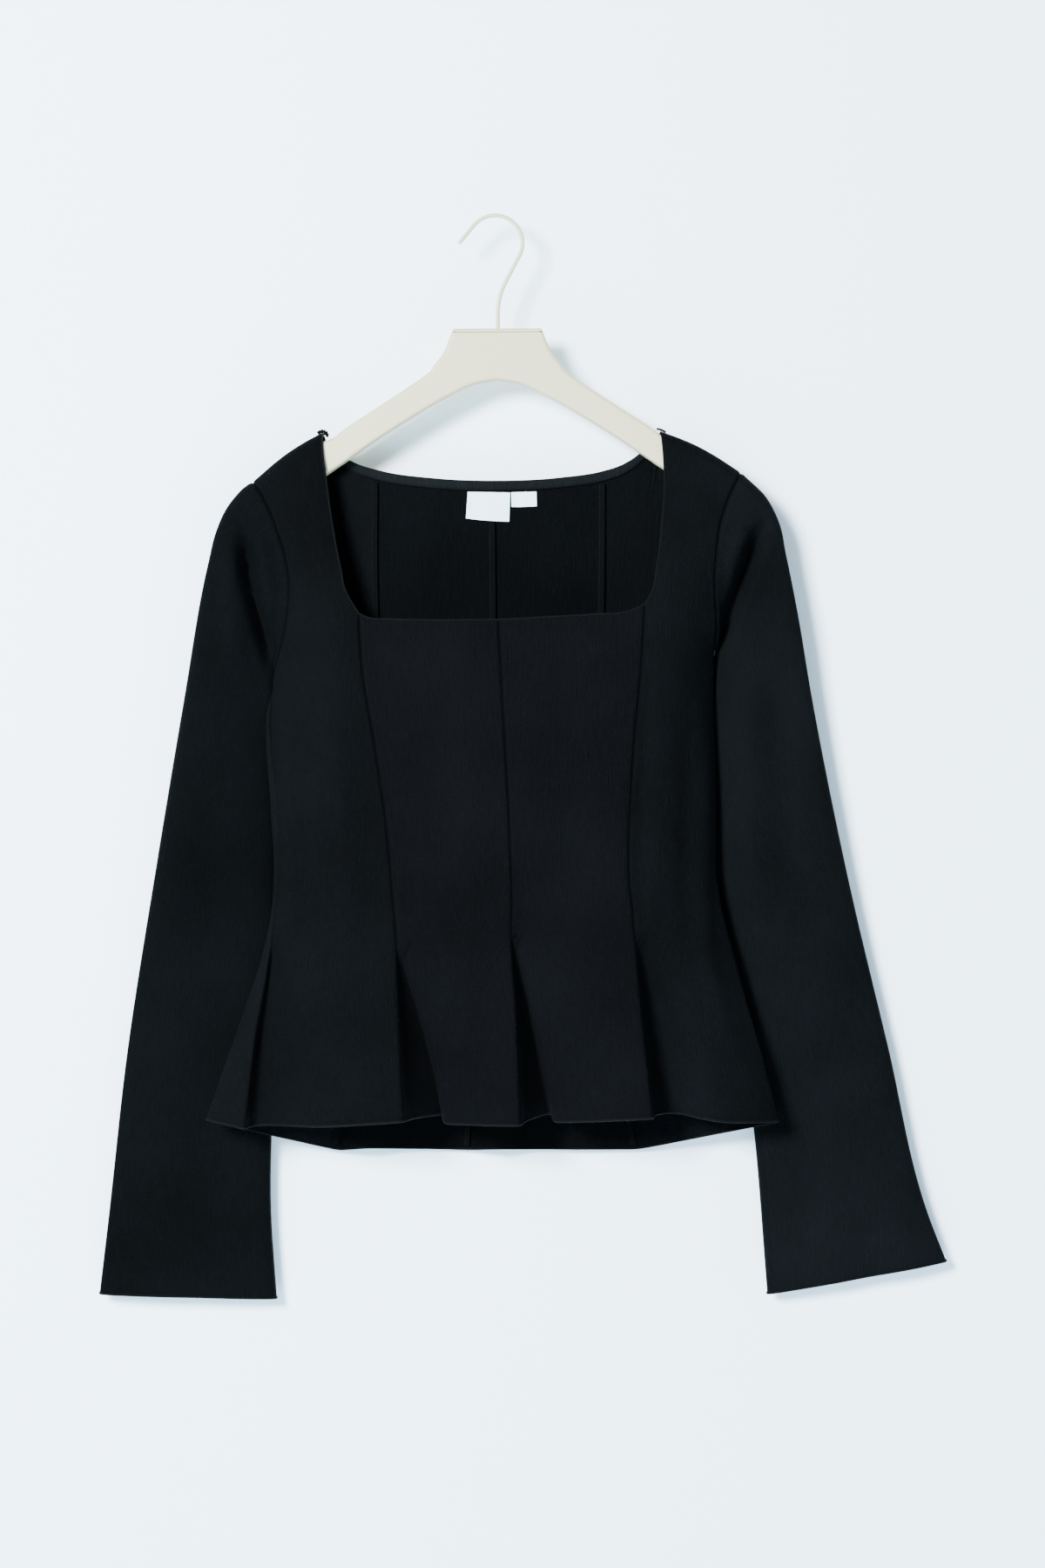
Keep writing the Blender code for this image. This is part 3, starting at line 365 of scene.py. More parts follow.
JERSEY_GLOSS = 0.014
# How far a sunk seam's colour is darkened, as painted shade in its groove
SEAM_PAINTED_SHADE = 0.3

# Panels painted lighter or darker than the jersey, as painted light and shade: each one's material and
# setting
PANEL_LIGHT_AND_SHADE = {
    "front_centre_left": ("jersey_front", "centre"),
    "front_centre_right": ("jersey_front", "centre"),
    "front_side_right": ("jersey_right", "side_right"),
    "back_side_left": ("jersey_turned", "turned"),
    "back_centre_left": ("jersey_back", "back"),
    "back_centre_right": ("jersey_back", "back"),
}

# Seam allowances, columns: the panel at whose last seam it lies, the row it starts from
ALLOWANCES = (
    ("back_side_left", 13), ("back_centre_left", 23), ("back_centre_right", 13), ("front_side_left", 64),
    ("front_centre_left", 4), ("front_centre_right", 4),
)

# The ends of the shoulder seams at the neck, columns: name, path (x, y, z), radius, unevenness
SEAM_ENDS = (
    ("knot", ((-141, -9.6, -172), (-137.8, -10.4, -170.6), (-134.8, -10.2, -171.6), (-133.4, -9.8, -174.4)),
     1.5, 0.35),
    ("thread", ((-136.5, -10.6, -172.8), (-134.4, -11.4, -173.4), (-132.9, -11.2, -175.6)), 0.75, 0.3),
    ("tip", ((133.5, -9.6, -171.2), (129.4, -9.8, -169.2), (126.2, -9.6, -168.6)), 0.9, 0.2),
)

# Labels, columns: name, corners x and z (top left, top right, lower right, lower left), sag, curl
LABELS = (
    ("neck_label", ((-23.2, -216.2), (10.4, -216.8), (9.8, -240), (-24.6, -237.4)), 0.5, 1.3),
    ("size_label", ((11.4, -216.6), (31.4, -216), (31.7, -227.6), (11.6, -228.2)), 0.3, 0.6),
)

# Hanger
HANGER_TILT = math.radians(0.3)
HANGER_HALF_THICK = 6.5
HANGER_ROUNDING = 2.6
HOOK_WIRE = 3.2
HOOK_RADIUS = 21.8
HOOK_ARC = (-28, 140)
HOOK_TIP = 19
HOOK_FILLET = 14
HOOK_SIDES = 20
HOOK_CENTRE_X = -1.5
STEM_X = 0.4
PLATE_TOP = -88.5
# columns: distance from the middle, height of the top edge; the arms go on inside the shoulders
HANGER_TOP_EDGE = (
    (35, -88.5), (42, -106), (50, -117), (57, -125), (90, -147), (120, -166.5), (131, -174.8), (145, -179),
    (158, -185), (172, -194), (186, -205.5), (193, -212), (202, -221),
)
# columns: distance from the middle, height of the lower edge
HANGER_LOWER_EDGE = (
    (205, -232), (198, -239), (185, -236), (135, -203), (95, -175.5), (57, -152), (37, -141), (19, -132.5),
    (0, -129),
)

# The camera and the wall behind, in millimetres
CAMERA_PLACE = (20.4, -2400, -448.7)
CAMERA_LENS = 69.57
WALL_PLACE = 38
WALL_TOP = 2600
FLOOR_HEIGHT = -1500
STAGE_REACH = 4000

# Lights, columns: name, place in metres, size, energy, colour. They all face the middle of the top
LIGHTS = (
    ("key", (-1.3, -2.7, 0.42), 0.8, 575, (1.0, 0.99, 0.98)),
    ("fill", (1.9, -2.2, 0.0), 1.8, 12, (1, 1, 1)),
    ("rear", (0.9, 2.8, 0.5), 2.0, 420, (1, 1, 1)),
)
LIGHTS_FACE = (0.02, 0, -0.45)
SKY_COLOUR = (0.93, 0.97, 1.0, 1)
SKY_STRENGTH = 0.42


def cubic(knots, values, places):
    """A smooth curve through values at knots, read at places. Its slope at a knot is its neighbours'."""
    knots = np.asarray(knots, float)
    values = np.asarray(values, float)
    places = np.atleast_1d(np.asarray(places, float))
    slopes = np.gradient(values, knots, axis=0)
    i = np.clip(np.searchsorted(knots, places, side="right") - 1, 0, len(knots) - 2)
    shape = (-1,) + (1,) * (values.ndim - 1)
    span = knots[i + 1] - knots[i]
    t = ((np.clip(places, knots[0], knots[-1]) - knots[i]) / span).reshape(shape)
    span = span.reshape(shape)
    start = (1 + 2 * t) * (1 - t) ** 2 * values[i] + t * (1 - t) ** 2 * span * slopes[i]
    end = t * t * (3 - 2 * t) * values[i + 1] + t * t * (t - 1) * span * slopes[i + 1]
    return start + end


def read(rows, places):
    """Points of a table whose first column is the place and whose others are x, y and z."""
    table = np.array(rows, float)
    return cubic(table[:, 0], table[:, 1:], places)


def ease(value):
    """Goes smoothly from 0 to 1 as the value does."""
    value = np.clip(value, 0, 1)
    return value * value * (3 - 2 * value)


def joined(upper, lower, split, stations):
    """Two tables that meet in a corner at the station split, read at the stations."""
    points = read(lower, stations)
    above = stations < split
    points[above] = read(upper, stations[above])
    return points


def back_armhole(rows, shift):
    """The back half of an armhole: the front half's heights, behind the middle and a little further out."""
    table = np.array(rows, float)
    swell = np.sin(math.pi * table[:, 0] / table[-1, 0])
    table[:, 1] += shift * swell
    table[:, 2] = np.abs(table[:, 2]) + BACK_ARMHOLE_DEPTH * swell
    return table


def side_places(columns, round_side):
    """Shares of a panel's width at its columns, closer together towards the body's side."""
    places = np.linspace(0, 1, columns + 1)
    if round_side == "left":
        return places**SIDE_CROWDING
    if round_side == "right":
        return 1 - (1 - places) ** SIDE_CROWDING
    return places


def blur(grid, sigma, axis):
    """Softens a grid along one axis by a bell-shaped average. Past an edge the form goes on as its odd
    mirror image, so the edges stay where they are."""
    reach = int(math.ceil(3 * sigma))
    weights = np.exp(-0.5 * (np.arange(-reach, reach + 1) / sigma) ** 2)
    weights /= weights.sum()
    pad = [(0, 0)] * grid.ndim
    pad[axis] = (reach, reach)
    wide = np.pad(grid, pad, mode="reflect", reflect_type="odd")
    length = grid.shape[axis]
    total = np.zeros_like(grid)
    for i, weight in enumerate(weights):
        total += weight * np.take(wide, np.arange(i, i + length), axis=axis)
    return total


def panel_grid(left, right, stations, columns, folds=(), round_side=None, bulge=0.0, front=1, keen=False):
    """Points [row, column] between two seams: the straight way across, turned round the body's side,
    swelled by a half wave, and drawn to the fold lines from where they start. A lobe rounds out between
    its fold line and the next seam. A keen panel drops away from its left seam at once."""
    places = side_places(columns, round_side)
    grid = left[:, None] * (1 - places)[None, :, None] + right[:, None] * places[None, :, None]
    depth = right[:, 1] - left[:, 1]
    side_fade = 1 - ease((stations - SIDE_OPENS[0]) / (SIDE_OPENS[1] - SIDE_OPENS[0]))
    if round_side:
        turned = 1 - (1 - places) ** SIDE_ROUNDNESS if round_side == "left" else places**SIDE_ROUNDNESS
        grid[:, :, 1] += (depth * side_fade)[:, None] * (turned - places)[None]
    grid[:, :, 1] += bulge * ease(stations / BULGE_EASE)[:, None] * np.sin(math.pi * places)[None]
    shares = np.linspace(0, 1, columns + 1)
    knots = np.array([0.0] + [share for share, _ in folds] + [1.0])
    offsets = np.zeros((len(stations), len(knots), 3))
    weight = np.zeros(len(stations))
    for i, (share, table) in enumerate(folds):
        weight = 1 - ease(1 - (stations - table[0][0]) / FOLD_EASE)
        position = share * columns
        low = int(position)
        part = position - low
        at_share = grid[:, low] * (1 - part) + grid[:, min(low + 1, columns)] * part
        offsets[:, i + 1] = weight[:, None] * (read(table, stations) - at_share)
    slot = np.clip(np.searchsorted(knots, shares, side="right") - 1, 0, len(knots) - 2)
    t = ((shares - knots[slot]) / (knots[slot + 1] - knots[slot]))[None, :, None]
    t = np.where(slot == 0, np.clip(t[..., 0], 0, 1) ** BRINK, t[..., 0])[..., None] if keen else t
    grid += offsets[:, slot] * (1 - t) + offsets[:, slot + 1] * t
    if len(folds) > 1:
        local = np.clip((shares - knots[-2]) / (1 - knots[-2]), 0, 1)
        grid[:, :, 1] -= front * LOBE_ROUNDING * weight[:, None] * np.sin(math.pi * local)[None]
    return grid


def ridge(grid, stations, share=None):
    """Rounds the cloth over the hanger's arm: the depth falls to nothing at the shoulder seam."""
    drop = np.clip(1 - stations / RIDGE_END, 0, 1)
    factor = np.sqrt(1 - drop**2)[:, None]
    share = np.ones(grid.shape[1]) if share is None else share
    grid[:, :, 1] *= 1 - (1 - factor) * share[None]
    return grid


def normals(grid, outward):
    """Unit normals of a grid, from its steps across and down. Outward is 1 or -1."""
    return unit(np.cross(np.gradient(grid, axis=1), np.gradient(grid, axis=0)) * outward)


def ring_normals(grid, outward):
    """As normals, for a grid whose last column meets its first."""
    wide = np.concatenate((grid[:, -1:], grid, grid[:, :1]), axis=1)
    return normals(wide, outward)[:, 1:-1]


def weld_normals(pieces):
    """Gives the points that two pieces share one normal, the unit sum of theirs."""
    points = np.concatenate([grid.reshape(-1, 3) for grid, _ in pieces])
    given = np.concatenate([normal.reshape(-1, 3) for _, normal in pieces])
    _, place = np.unique(np.round(points, 2), axis=0, return_inverse=True)
    place = place.ravel()
    total = np.zeros((place.max() + 1, 3))
    np.add.at(total, place, given)
    total = unit(total)
    start = 0
    for _, normal in pieces:
        count = normal.shape[0] * normal.shape[1]
        normal[:] = total[place[start : start + count]].reshape(normal.shape)
        start += count


def crease_depth(points, creases):
    """How far creases press each point in: each is a bell-shaped groove along a line through x and z,
    that runs out softly at both ends."""
    depth = np.zeros(points.shape[:-1])
    flat = points[..., [0, 2]]
    for width, press, line in creases:
        line = np.array(line, float)
        steps = np.linalg.norm(np.diff(line, axis=0), axis=1)
        total = steps.sum()
        best = np.full(depth.shape, 1e9)
        along = np.zeros(depth.shape)
        for k, length in enumerate(steps):
            way = (line[k + 1] - line[k]) / length
            t = np.clip((flat - line[k]) @ way, 0, length)
            away = np.linalg.norm(flat - line[k] - t[..., None] * way, axis=-1)
            nearer = away < best
            best = np.where(nearer, away, best)
            along = np.where(nearer, (t + steps[:k].sum()) / total, along)
        taper = ease(along / CREASE_TAPER) * ease((1 - along) / CREASE_TAPER)
        depth += press * taper * np.exp(-((best / width) ** 2))
    return depth


def waver(points, seed):
    """Slight unevenness of hanging cloth: a sum of long waves in x and z with fixed directions."""
    source = np.random.default_rng(seed)
    total = np.zeros(points.shape[:-1])
    for _ in range(WAVES):
        turn = source.uniform(-WAVE_TURN, WAVE_TURN)
        length = source.uniform(*WAVE_LENGTH)
        phase = source.uniform(0, 2 * math.pi)
        way = np.array((math.cos(turn), WAVE_LEAN * math.sin(turn)))
        total += np.sin(2 * math.pi * (points[..., [0, 2]] @ way) / length + phase)
    return total / math.sqrt(WAVES)


def body_rows():
    """Stations of the body's rows, close together over the hanger's arm."""
    top = np.linspace(0, RIDGE_END, 13)
    upper = np.linspace(RIDGE_END, NECKLINE, int((NECKLINE - RIDGE_END) / ROW_STEP))[1:]
    lower = np.linspace(NECKLINE, HEM, int((HEM - NECKLINE) / ROW_STEP))[1:]
    return np.concatenate((top, upper, lower))


def edge_rise(rows, base):
    """How far an edge table (x, y, z) lies from the points of base with the same x."""
    table = np.array(rows, float)
    along = cubic(table[:, 0], table[:, 1:], base[:, 0])
    return np.column_stack((np.zeros(len(base)), along - base[:, 1:]))


def front_side(armhole, side, neck, princess, folds, stations, mirror):
    """A side front panel with its strap: from the shoulder seam down between armhole and neckline."""
    outer = joined(armhole, side, UNDERARM, stations)
    inner = joined(neck, princess, NECKLINE, stations)
    left, right = (inner, outer) if mirror else (outer, inner)
    hand = "right" if mirror else "left"
    return panel_grid(left, right, stations, SIDE_COLUMNS, folds, hand, FRONT_SIDE_BULGE, 1, mirror)


def back_side(armhole, side, princess, folds, stations, mirror):
    """A side back panel, before its top edge is raised to the shoulder seam and the neckline."""
    outer = joined(armhole, side, UNDERARM, stations)
    inner = read(princess, stations)
    grid = panel_grid(outer, inner, stations, BACK_SIDE_COLUMNS, folds, "left", BACK_SIDE_BULGE, 0)
    return grid[:, ::-1] if mirror else grid


def raise_back_side(grid, stations, neck_point, mirror):
    """Raises a side back panel's top edge: over the shoulder to the neck point, then down the neckline."""
    grid = grid[:, ::-1] if mirror else grid
    columns = grid.shape[1] - 1
    shoulder = columns * 2 // 3
    neck = columns - shoulder
    share = side_places(shoulder, "left")
    tip = grid[0, 0].copy()
    point = np.array([neck_point[0], grid[0, 0, 1], neck_point[2]])
    seam = np.outer(1 - share, tip) + np.outer(share, point)
    seam[:, 2] += SHOULDER_HUMP * np.sin(math.pi * share)
    along = np.linspace(0, 1, neck + 1)[1:] ** NECK_CROWDING
    across = neck_point[0] + along * (grid[0, -1, 0] - neck_point[0])
    table = np.array(NECK_BACK, float)
    edge = np.column_stack((across, cubic(table[:, 0], table[:, 1:], across)))
    rise = np.concatenate((seam, edge)) - grid[0]
    far = 1 - ease(stations / BACK_FADE)
    near = (1 - np.clip(stations / BACK_DEPTH_FADE, 0, 1)) ** 2
    fade = np.stack((far, near, far), axis=1)
    grid = grid + rise[None] * fade[:, None, :]
    on_hanger = np.concatenate((np.ones(shoulder + 1), np.zeros(neck)))
    grid = ridge(grid, stations, on_hanger)
    return grid[:, ::-1] if mirror else grid


def soften_across(panels, stations, soft, crisp, keen=()):
    """Softens a row of panels that share their seams. Below the neckline the softening runs on across
    the seams, and above it each panel keeps its own edges. Where the hem folds it is weaker: all over
    the keen panels, and near the seams of the others."""
    counts = [grid.shape[1] for grid in panels]
    whole = np.concatenate([panels[0]] + [grid[:, 1:] for grid in panels[1:]], axis=1)
    broad = blur(whole, soft, 1)
    fine = blur(whole, crisp, 1)
    folded = ease((stations - FOLDED_FROM) / FOLD_EASE)[:, None, None]
    weight = ease((stations - NECKLINE) / SOFTEN_EASE)[:, None, None]
    softened = []
    start = 0
    for i, (grid, count) in enumerate(zip(panels, counts)):
        alone = blur(grid, soft, 1)
        part = np.s_[:, start : start + count]
        column = np.arange(count)
        left = np.exp(-((column / KEEN_COLUMNS) ** 2)) * (i > 0)
        right = np.exp(-(((count - 1 - column) / KEEN_COLUMNS) ** 2)) * (i + 1 < len(panels))
        near = np.ones(count) if i in keen else np.maximum(left, right)
        share = folded * near[None, :, None]
        together = broad[part] * (1 - share) + fine[part] * share
        softened.append(alone * (1 - weight) + together * weight)
        start += count - 1
    return softened


def match_seams(panels):
    """Makes neighbouring panels meet: each seam's points become the mean, and the change fades out."""
    fade = (1 - np.linspace(0, 1, 9)) ** 2
    for left, right in zip(panels, panels[1:]):
        gap = right[:, 0] - left[:, -1]
        left[:, -9:] += 0.5 * gap[:, None] * fade[::-1][None, :, None]
        right[:, :9] -= 0.5 * gap[:, None] * fade[None, :, None]


def edge_shares(count):
    """Shares across a panel, with extra columns near both seams."""
    near = np.array((0, 0.006, 0.013, 0.022, 0.034))
    return np.concatenate((near, np.linspace(0.055, 0.945, count), 1 - near[::-1]))


def distances(grid):
    """Each point's distance from the left and right edge along its row."""
    steps = np.linalg.norm(np.diff(grid, axis=1), axis=2)
    left = np.concatenate((np.zeros((len(grid), 1)), np.cumsum(steps, axis=1)), axis=1)
    return left, left[:, -1:] - left


def lengths(grid):
    """Each point's distance down its column from the first row."""
    steps = np.linalg.norm(np.diff(grid, axis=0), axis=2)
    return np.cumsum(np.concatenate((np.zeros((1, grid.shape[1])), steps)), axis=0)


def front_panels(stations, rows):
    """The front panels as cut: the side ones from the shoulder, the centre ones from the neckline down."""
    left = ARMHOLE_LEFT, SIDE_LEFT, NECK_SIDE_LEFT, PRINCESS_FRONT_LEFT
    right = ARMHOLE_RIGHT, SIDE_RIGHT, NECK_SIDE_RIGHT, PRINCESS_FRONT_RIGHT
    front = [front_side(*left, FRONT_SIDE_LEFT_FOLDS, stations, False)]
    for start, end, folds in (
        (PRINCESS_FRONT_LEFT, CENTRE_FRONT, FRONT_CENTRE_LEFT_FOLDS),
        (CENTRE_FRONT, PRINCESS_FRONT_RIGHT, FRONT_CENTRE_RIGHT_FOLDS),
    ):
        seams = read(start, rows), read(end, rows)
        front.append(panel_grid(*seams, rows, CENTRE_COLUMNS, folds, None, FRONT_CENTRE_BULGE, 1, True))
    front.append(front_side(*right, FRONT_SIDE_RIGHT_FOLDS, stations, True))
    return front


def back_panels(stations):
    """The back panels, before their top edges are raised."""
    holes = back_armhole(ARMHOLE_LEFT, -BACK_ARMHOLE_SWELL), back_armhole(ARMHOLE_RIGHT, BACK_ARMHOLE_SWELL)
    back = [back_side(holes[0], SIDE_LEFT, PRINCESS_BACK_LEFT, BACK_SIDE_LEFT_FOLDS, stations, False)]
    for start, end, folds in (
        (PRINCESS_BACK_LEFT, CENTRE_BACK, BACK_CENTRE_LEFT_FOLDS),
        (CENTRE_BACK, PRINCESS_BACK_RIGHT, BACK_CENTRE_RIGHT_FOLDS),
    ):
        seams = read(start, stations), read(end, stations)
        back.append(panel_grid(*seams, stations, CENTRE_COLUMNS, folds, None, 0, BACK_LOBES))
    back.append(back_side(holes[1], SIDE_RIGHT, PRINCESS_BACK_RIGHT, BACK_SIDE_RIGHT_FOLDS, stations, True))
    return back


def raise_neckline(panels, stations, edge):
    """Brings the two centre panels' top edges to the neckline. The change fades out below."""
    fade = (1 - np.clip((stations - stations[0]) / NECKLINE_FADE, 0, 1)) ** 2
    for i in (1, 2):
        panels[i] = panels[i] + edge_rise(edge, panels[i][0])[None] * fade[:, None, None]


def crowded(grids, stations, rows):
    """The panels read again with rows close together at the hem and columns close to the seams."""
    fine_rows = np.concatenate((stations[stations < HEM - 8], np.linspace(HEM - 8, HEM, 9)))
    for name, grid in grids.items():
        own = stations if len(grid) == len(stations) else rows
        grid = cubic(own, grid, fine_rows[fine_rows >= own[0]])
        shares = np.linspace(0, 1, grid.shape[1])
        wanted = edge_shares(grid.shape[1] - 3)
        grids[name] = np.moveaxis(cubic(shares, np.moveaxis(grid, 1, 0), wanted), 0, 1)
    return grids, fine_rows


def body_grids():
    """The eight body panels in their hanging form, softened and joined, without their creases."""
    stations = body_rows()
    rows = stations[stations >= NECKLINE]
    front = front_panels(stations, rows)
    back = back_panels(stations)
    skip = len(stations) - len(rows)
    low_front = [front[0][skip:], *front[1:3], front[3][skip:]]
    low_front = soften_across(low_front, rows, *FRONT_SOFTNESS, (1, 2))
    front[0][skip:], front[1], front[2], front[3][skip:] = low_front
    back = soften_across(back, stations, *BACK_SOFTNESS)
    raise_neckline(front, rows, NECK_FRONT)
    raise_neckline(back, stations, NECK_BACK)
    drop = (1 - np.clip(stations / STRAP_FADE, 0, 1)) ** 2
    for i, hand in ((0, "left"), (3, "right")):
        hump = SHOULDER_HUMP * np.sin(math.pi * side_places(SIDE_COLUMNS, hand))
        front[i][:, :, 2] += hump[None] * drop[:, None]
        front[i] = ridge(front[i], stations)
    back[0] = raise_back_side(back[0], stations, NECK_BACK[0], False)
    back[3] = raise_back_side(back[3], stations, NECK_BACK[-1], True)
    match_seams([front[0][skip:], *front[1:3], front[3][skip:]])
    match_seams(back)
    grids = {"front_" + name: grid for name, grid in zip(PANELS, front)}
    grids.update({"back_" + name: grid for name, grid in zip(PANELS, back)})
    return crowded(grids, stations, rows)


def crease_bodies(grids, stations):
    """Presses the creases and the unevenness into the body panels, along normals that seams share."""
    sides = {name: -1 if name.startswith("front") else 1 for name in grids}
    panels = {name: (grid, normals(grid, sides[name])) for name, grid in grids.items()}
    weld_normals(list(panels.values()))
    for name, (grid, normal) in panels.items():
        creases = FRONT_CREASES if sides[name] < 0 else BACK_CREASES
        own = stations[len(stations) - len(grid) :]
        away = ease(own / CREASE_START)[:, None]
        seed = FRONT_SEED if sides[name] < 0 else BACK_SEED
        press = crease_depth(grid, creases) + WAVER_DEPTH * waver(grid, seed)
        grid -= normal * (press * away)[..., None]
    return sides


def sleeve_rings():
    """Fractions down the sleeve, close together at the armhole and the cuff."""
    parts = [np.linspace(start, end, count)[1:] for start, end, count in SLEEVE_RINGS]
    return np.concatenate([[0.0]] + parts)


def sleeve_grid(outer, inner, loop, toward):
    """Rings from the armhole loop to the cuff. A ring is a flat oval between the sleeve's outer and
    inner line: cosine across, and a cosine's partner raised to a power in depth. The first ring is the
    armhole itself, and the rings' points even out further down."""
    rings = sleeve_rings()
    outer_line = read(outer, rings)
    inner_line = read(inner, rings)
    drop = (loop[0, 2] - loop[:, 2]) / (loop[0, 2] - loop[:, 2].min())
    low_point = int(np.argmin(loop[:, 2]))
    given = np.arccos(np.clip(1 - 2 * drop, -1, 1))
    given[low_point + 1 :] = 2 * math.pi - given[low_point + 1 :]
    even = np.concatenate(
        (
            np.linspace(0, math.pi, low_point + 1),
            np.linspace(math.pi, 2 * math.pi, len(loop) - low_point + 1)[1:-1],
        )
    )
    spread = ease(rings / EVEN_ROUND)[:, None]
    angle = given[None] * (1 - spread) + even[None] * spread
    middle = (outer_line + inner_line) / 2
    half = (outer_line - inner_line) / 2
    depth = np.interp(rings, *np.array(SLEEVE_DEPTH, float).T)
    sine = np.sign(np.sin(angle)) * np.abs(np.sin(angle)) ** SLEEVE_SQUARENESS
    grid = middle[:, None] + half[:, None] * np.cos(angle)[..., None]
    grid[:, :, 1] -= depth[:, None] * sine
    fade = (1 - np.clip(rings / ARMHOLE_FADE, 0, 1)) ** 2
    grid += (loop - grid[0])[None] * fade[:, None, None]
    low, high = np.radians(CREASE_ROUND)
    back_fade = 1 - ease((angle - math.pi) / math.radians(CREASE_BACK_FADE))
    across = ease((angle - low) / (high - low)) * back_fade
    down = np.exp(-(((rings - CREASE_DOWN) / CREASE_WIDTH) ** 2)) * ease(rings / 0.006)
    grid[:, :, 1] += CREASE_DEPTH * down[:, None] * across
    grid[:, :, 0] += toward * CREASE_INWARD * CREASE_DEPTH * down[:, None] * across
    return grid, rings


def soften_sleeve(grid, rings):
    """Softens a sleeve round and along, but not at the armhole or the cuff's edge."""
    reach = 9
    wide = np.concatenate((grid[:, -reach:], grid, grid[:, :reach]), axis=1)
    around = blur(wide, 2.0, 1)[:, reach:-reach]
    soft = blur(around, 1.2, 0)
    weight = ease(rings / 0.05)[:, None, None]
    return grid * (1 - weight) + soft * weight


def crease_sleeve(grid, rings, side, creases, seed):
    """Presses a sleeve's creases into its front and weaker ones into its back."""
    normal = ring_normals(grid, side)
    away = ease(rings / SLEEVE_CREASE_START)[:, None]
    facing = ease(0.5 - 0.9 * normal[..., 1])
    press = crease_depth(grid, creases) * (facing + SLEEVE_BACK_SHARE * (1 - facing))
    press += SLEEVE_WAVER * WAVER_DEPTH * waver(grid, seed)
    grid[..., 1] -= normal[..., 1] * press * away
    return grid


def armhole_loop(front, back, rows):
    """The armhole as one loop of points: down its front from the shoulder, and up its back."""
    return np.concatenate((front[:rows], back[rows - 2 : 0 : -1]))


SHAPES = {}


def shapes():
    """Every cloth piece's grid, normals, outward side and row places, worked out once."""
    if SHAPES:
        return SHAPES
    grids, stations = body_grids()
    sides = crease_bodies(grids, stations)
    rows = int(np.argmin(np.abs(stations - UNDERARM))) + 1
    made = {}
    for name, grid in grids.items():
        own = stations[len(stations) - len(grid) :]
        made[name] = [grid, normals(grid, sides[name]), sides[name], own]
    for hand, column, side, outer, inner, creases in (
        ("left", 0, -1, OUTER_LEFT, INNER_LEFT, LEFT_SLEEVE_CREASES),
        ("right", -1, 1, OUTER_RIGHT, INNER_RIGHT, RIGHT_SLEEVE_CREASES),
    ):
        front, back = (grids[part + hand][:, column] for part in ("front_side_", "back_side_"))
        loop = armhole_loop(front, back, rows)
        grid, rings = sleeve_grid(outer, inner, loop, -side)
        grid = soften_sleeve(grid, rings)
        grid = crease_sleeve(grid, rings, side, creases, SLEEVE_SEEDS[hand])
        made["sleeve_" + hand] = [grid, ring_normals(grid, side), side, rings]
    weld_normals([(grid, normal) for grid, normal, _, _ in made.values()])
    SHAPES.update(made)
    return SHAPES


def put_mesh(name, points, faces, uv=None, seam=None):
    """A mesh object at the origin from points in millimetres, shaded smooth, with an optional UV map and
    an optional seam attribute: how dark each point is painted as shade where a seam sinks."""
    mesh = bpy.data.meshes.new(name)
    faces = faces if isinstance(faces, list) else faces.tolist()
    mesh.from_pydata((np.asarray(points) * MM).tolist(), [], faces)
    if uv is not None:
        layer = mesh.uv_layers.new(name="cloth")
        corners = np.zeros(len(mesh.loops), np.int32)
        mesh.loops.foreach_get("vertex_index", corners)
        layer.data.foreach_set("uv", np.asarray(uv)[corners].ravel())
    if seam is not None:
        mesh.attributes.new("seam", "FLOAT", "POINT").data.foreach_set("value", np.clip(seam, 0, 1).ravel())
    mesh.shade_smooth()
    mesh.set_sharp_from_angle(angle=SHARP_FROM)
    body = bpy.data.objects.new(name, mesh)
    bpy.context.scene.collection.objects.link(body)
    return body


def shell_faces(rows, columns, closed):
    """Quads of a closed wall about a grid: its outer and inner sides, then its rims."""
    spans = columns if closed else columns - 1
    r, c = np.meshgrid(np.arange(rows - 1), np.arange(spans), indexing="ij")
    a = (r * columns + c).ravel()
    b = (r * columns + (c + 1) % columns).ravel()
    count = rows * columns
    outer = np.column_stack((a, b, b + columns, a + columns))
    inner = outer[:, ::-1] + count
    c = np.arange(spans)
    top, after = c, (c + 1) % columns
    last = (rows - 1) * columns
    rims = [
        np.column_stack((top, count + top, count + after, after)),
        np.column_stack((last + after, count + last + after, count + last + top, last + top)),
    ]
    if not closed:
        r = np.arange(rows - 1) * columns
        end = r + columns - 1
        rims.append(np.column_stack((r, r + columns, count + r + columns, count + r)))
        rims.append(np.column_stack((end, count + end, count + end + columns, end + columns)))
    return np.concatenate([outer, inner] + rims)


def flat_places(grid):
    """Cloth coordinates in decimetres: the way across from the middle column, and the way down."""
    left, _ = distances(grid)
    middle = left.shape[1] // 2
    across = left - left[:, middle : middle + 1]
    return np.stack((across, lengths(grid)), axis=2).reshape(-1, 2) * 0.01


def shell(name, grid, normal, outer, inner, side, closed=False, seam=None):
    """A closed wall: the grid moved out along its normals by outer, and in by inner. Seam is painted shade
    on its outer side.
    """
    out = (grid + normal * np.asarray(outer)[..., None]).reshape(-1, 3)
    back = (grid - normal * np.asarray(inner)[..., None]).reshape(-1, 3)
    faces = shell_faces(grid.shape[0], grid.shape[1], closed)
    if side < 0:
        faces = faces[:, ::-1]
    uv = flat_places(grid)
    # The seam values are painted shade for the outer side; the inner side gets none
    near = np.zeros(grid.shape[:2]) if seam is None else seam
    shade = np.concatenate((near.ravel(), np.zeros(near.size)))
    return put_mesh(name, np.concatenate((out, back)), faces, np.concatenate((uv, uv)), shade)


def seam_dip(distance):
    """How far the outside of the cloth sinks near a seam, with a low swell beside it."""
    sink = SEAM_DIP * np.exp(-((distance / SEAM_DIP_WIDTH) ** 2))
    return sink - SEAM_SWELL * np.exp(-(((distance - SEAM_SWELL_PLACE) / SEAM_SWELL_WIDTH) ** 2))


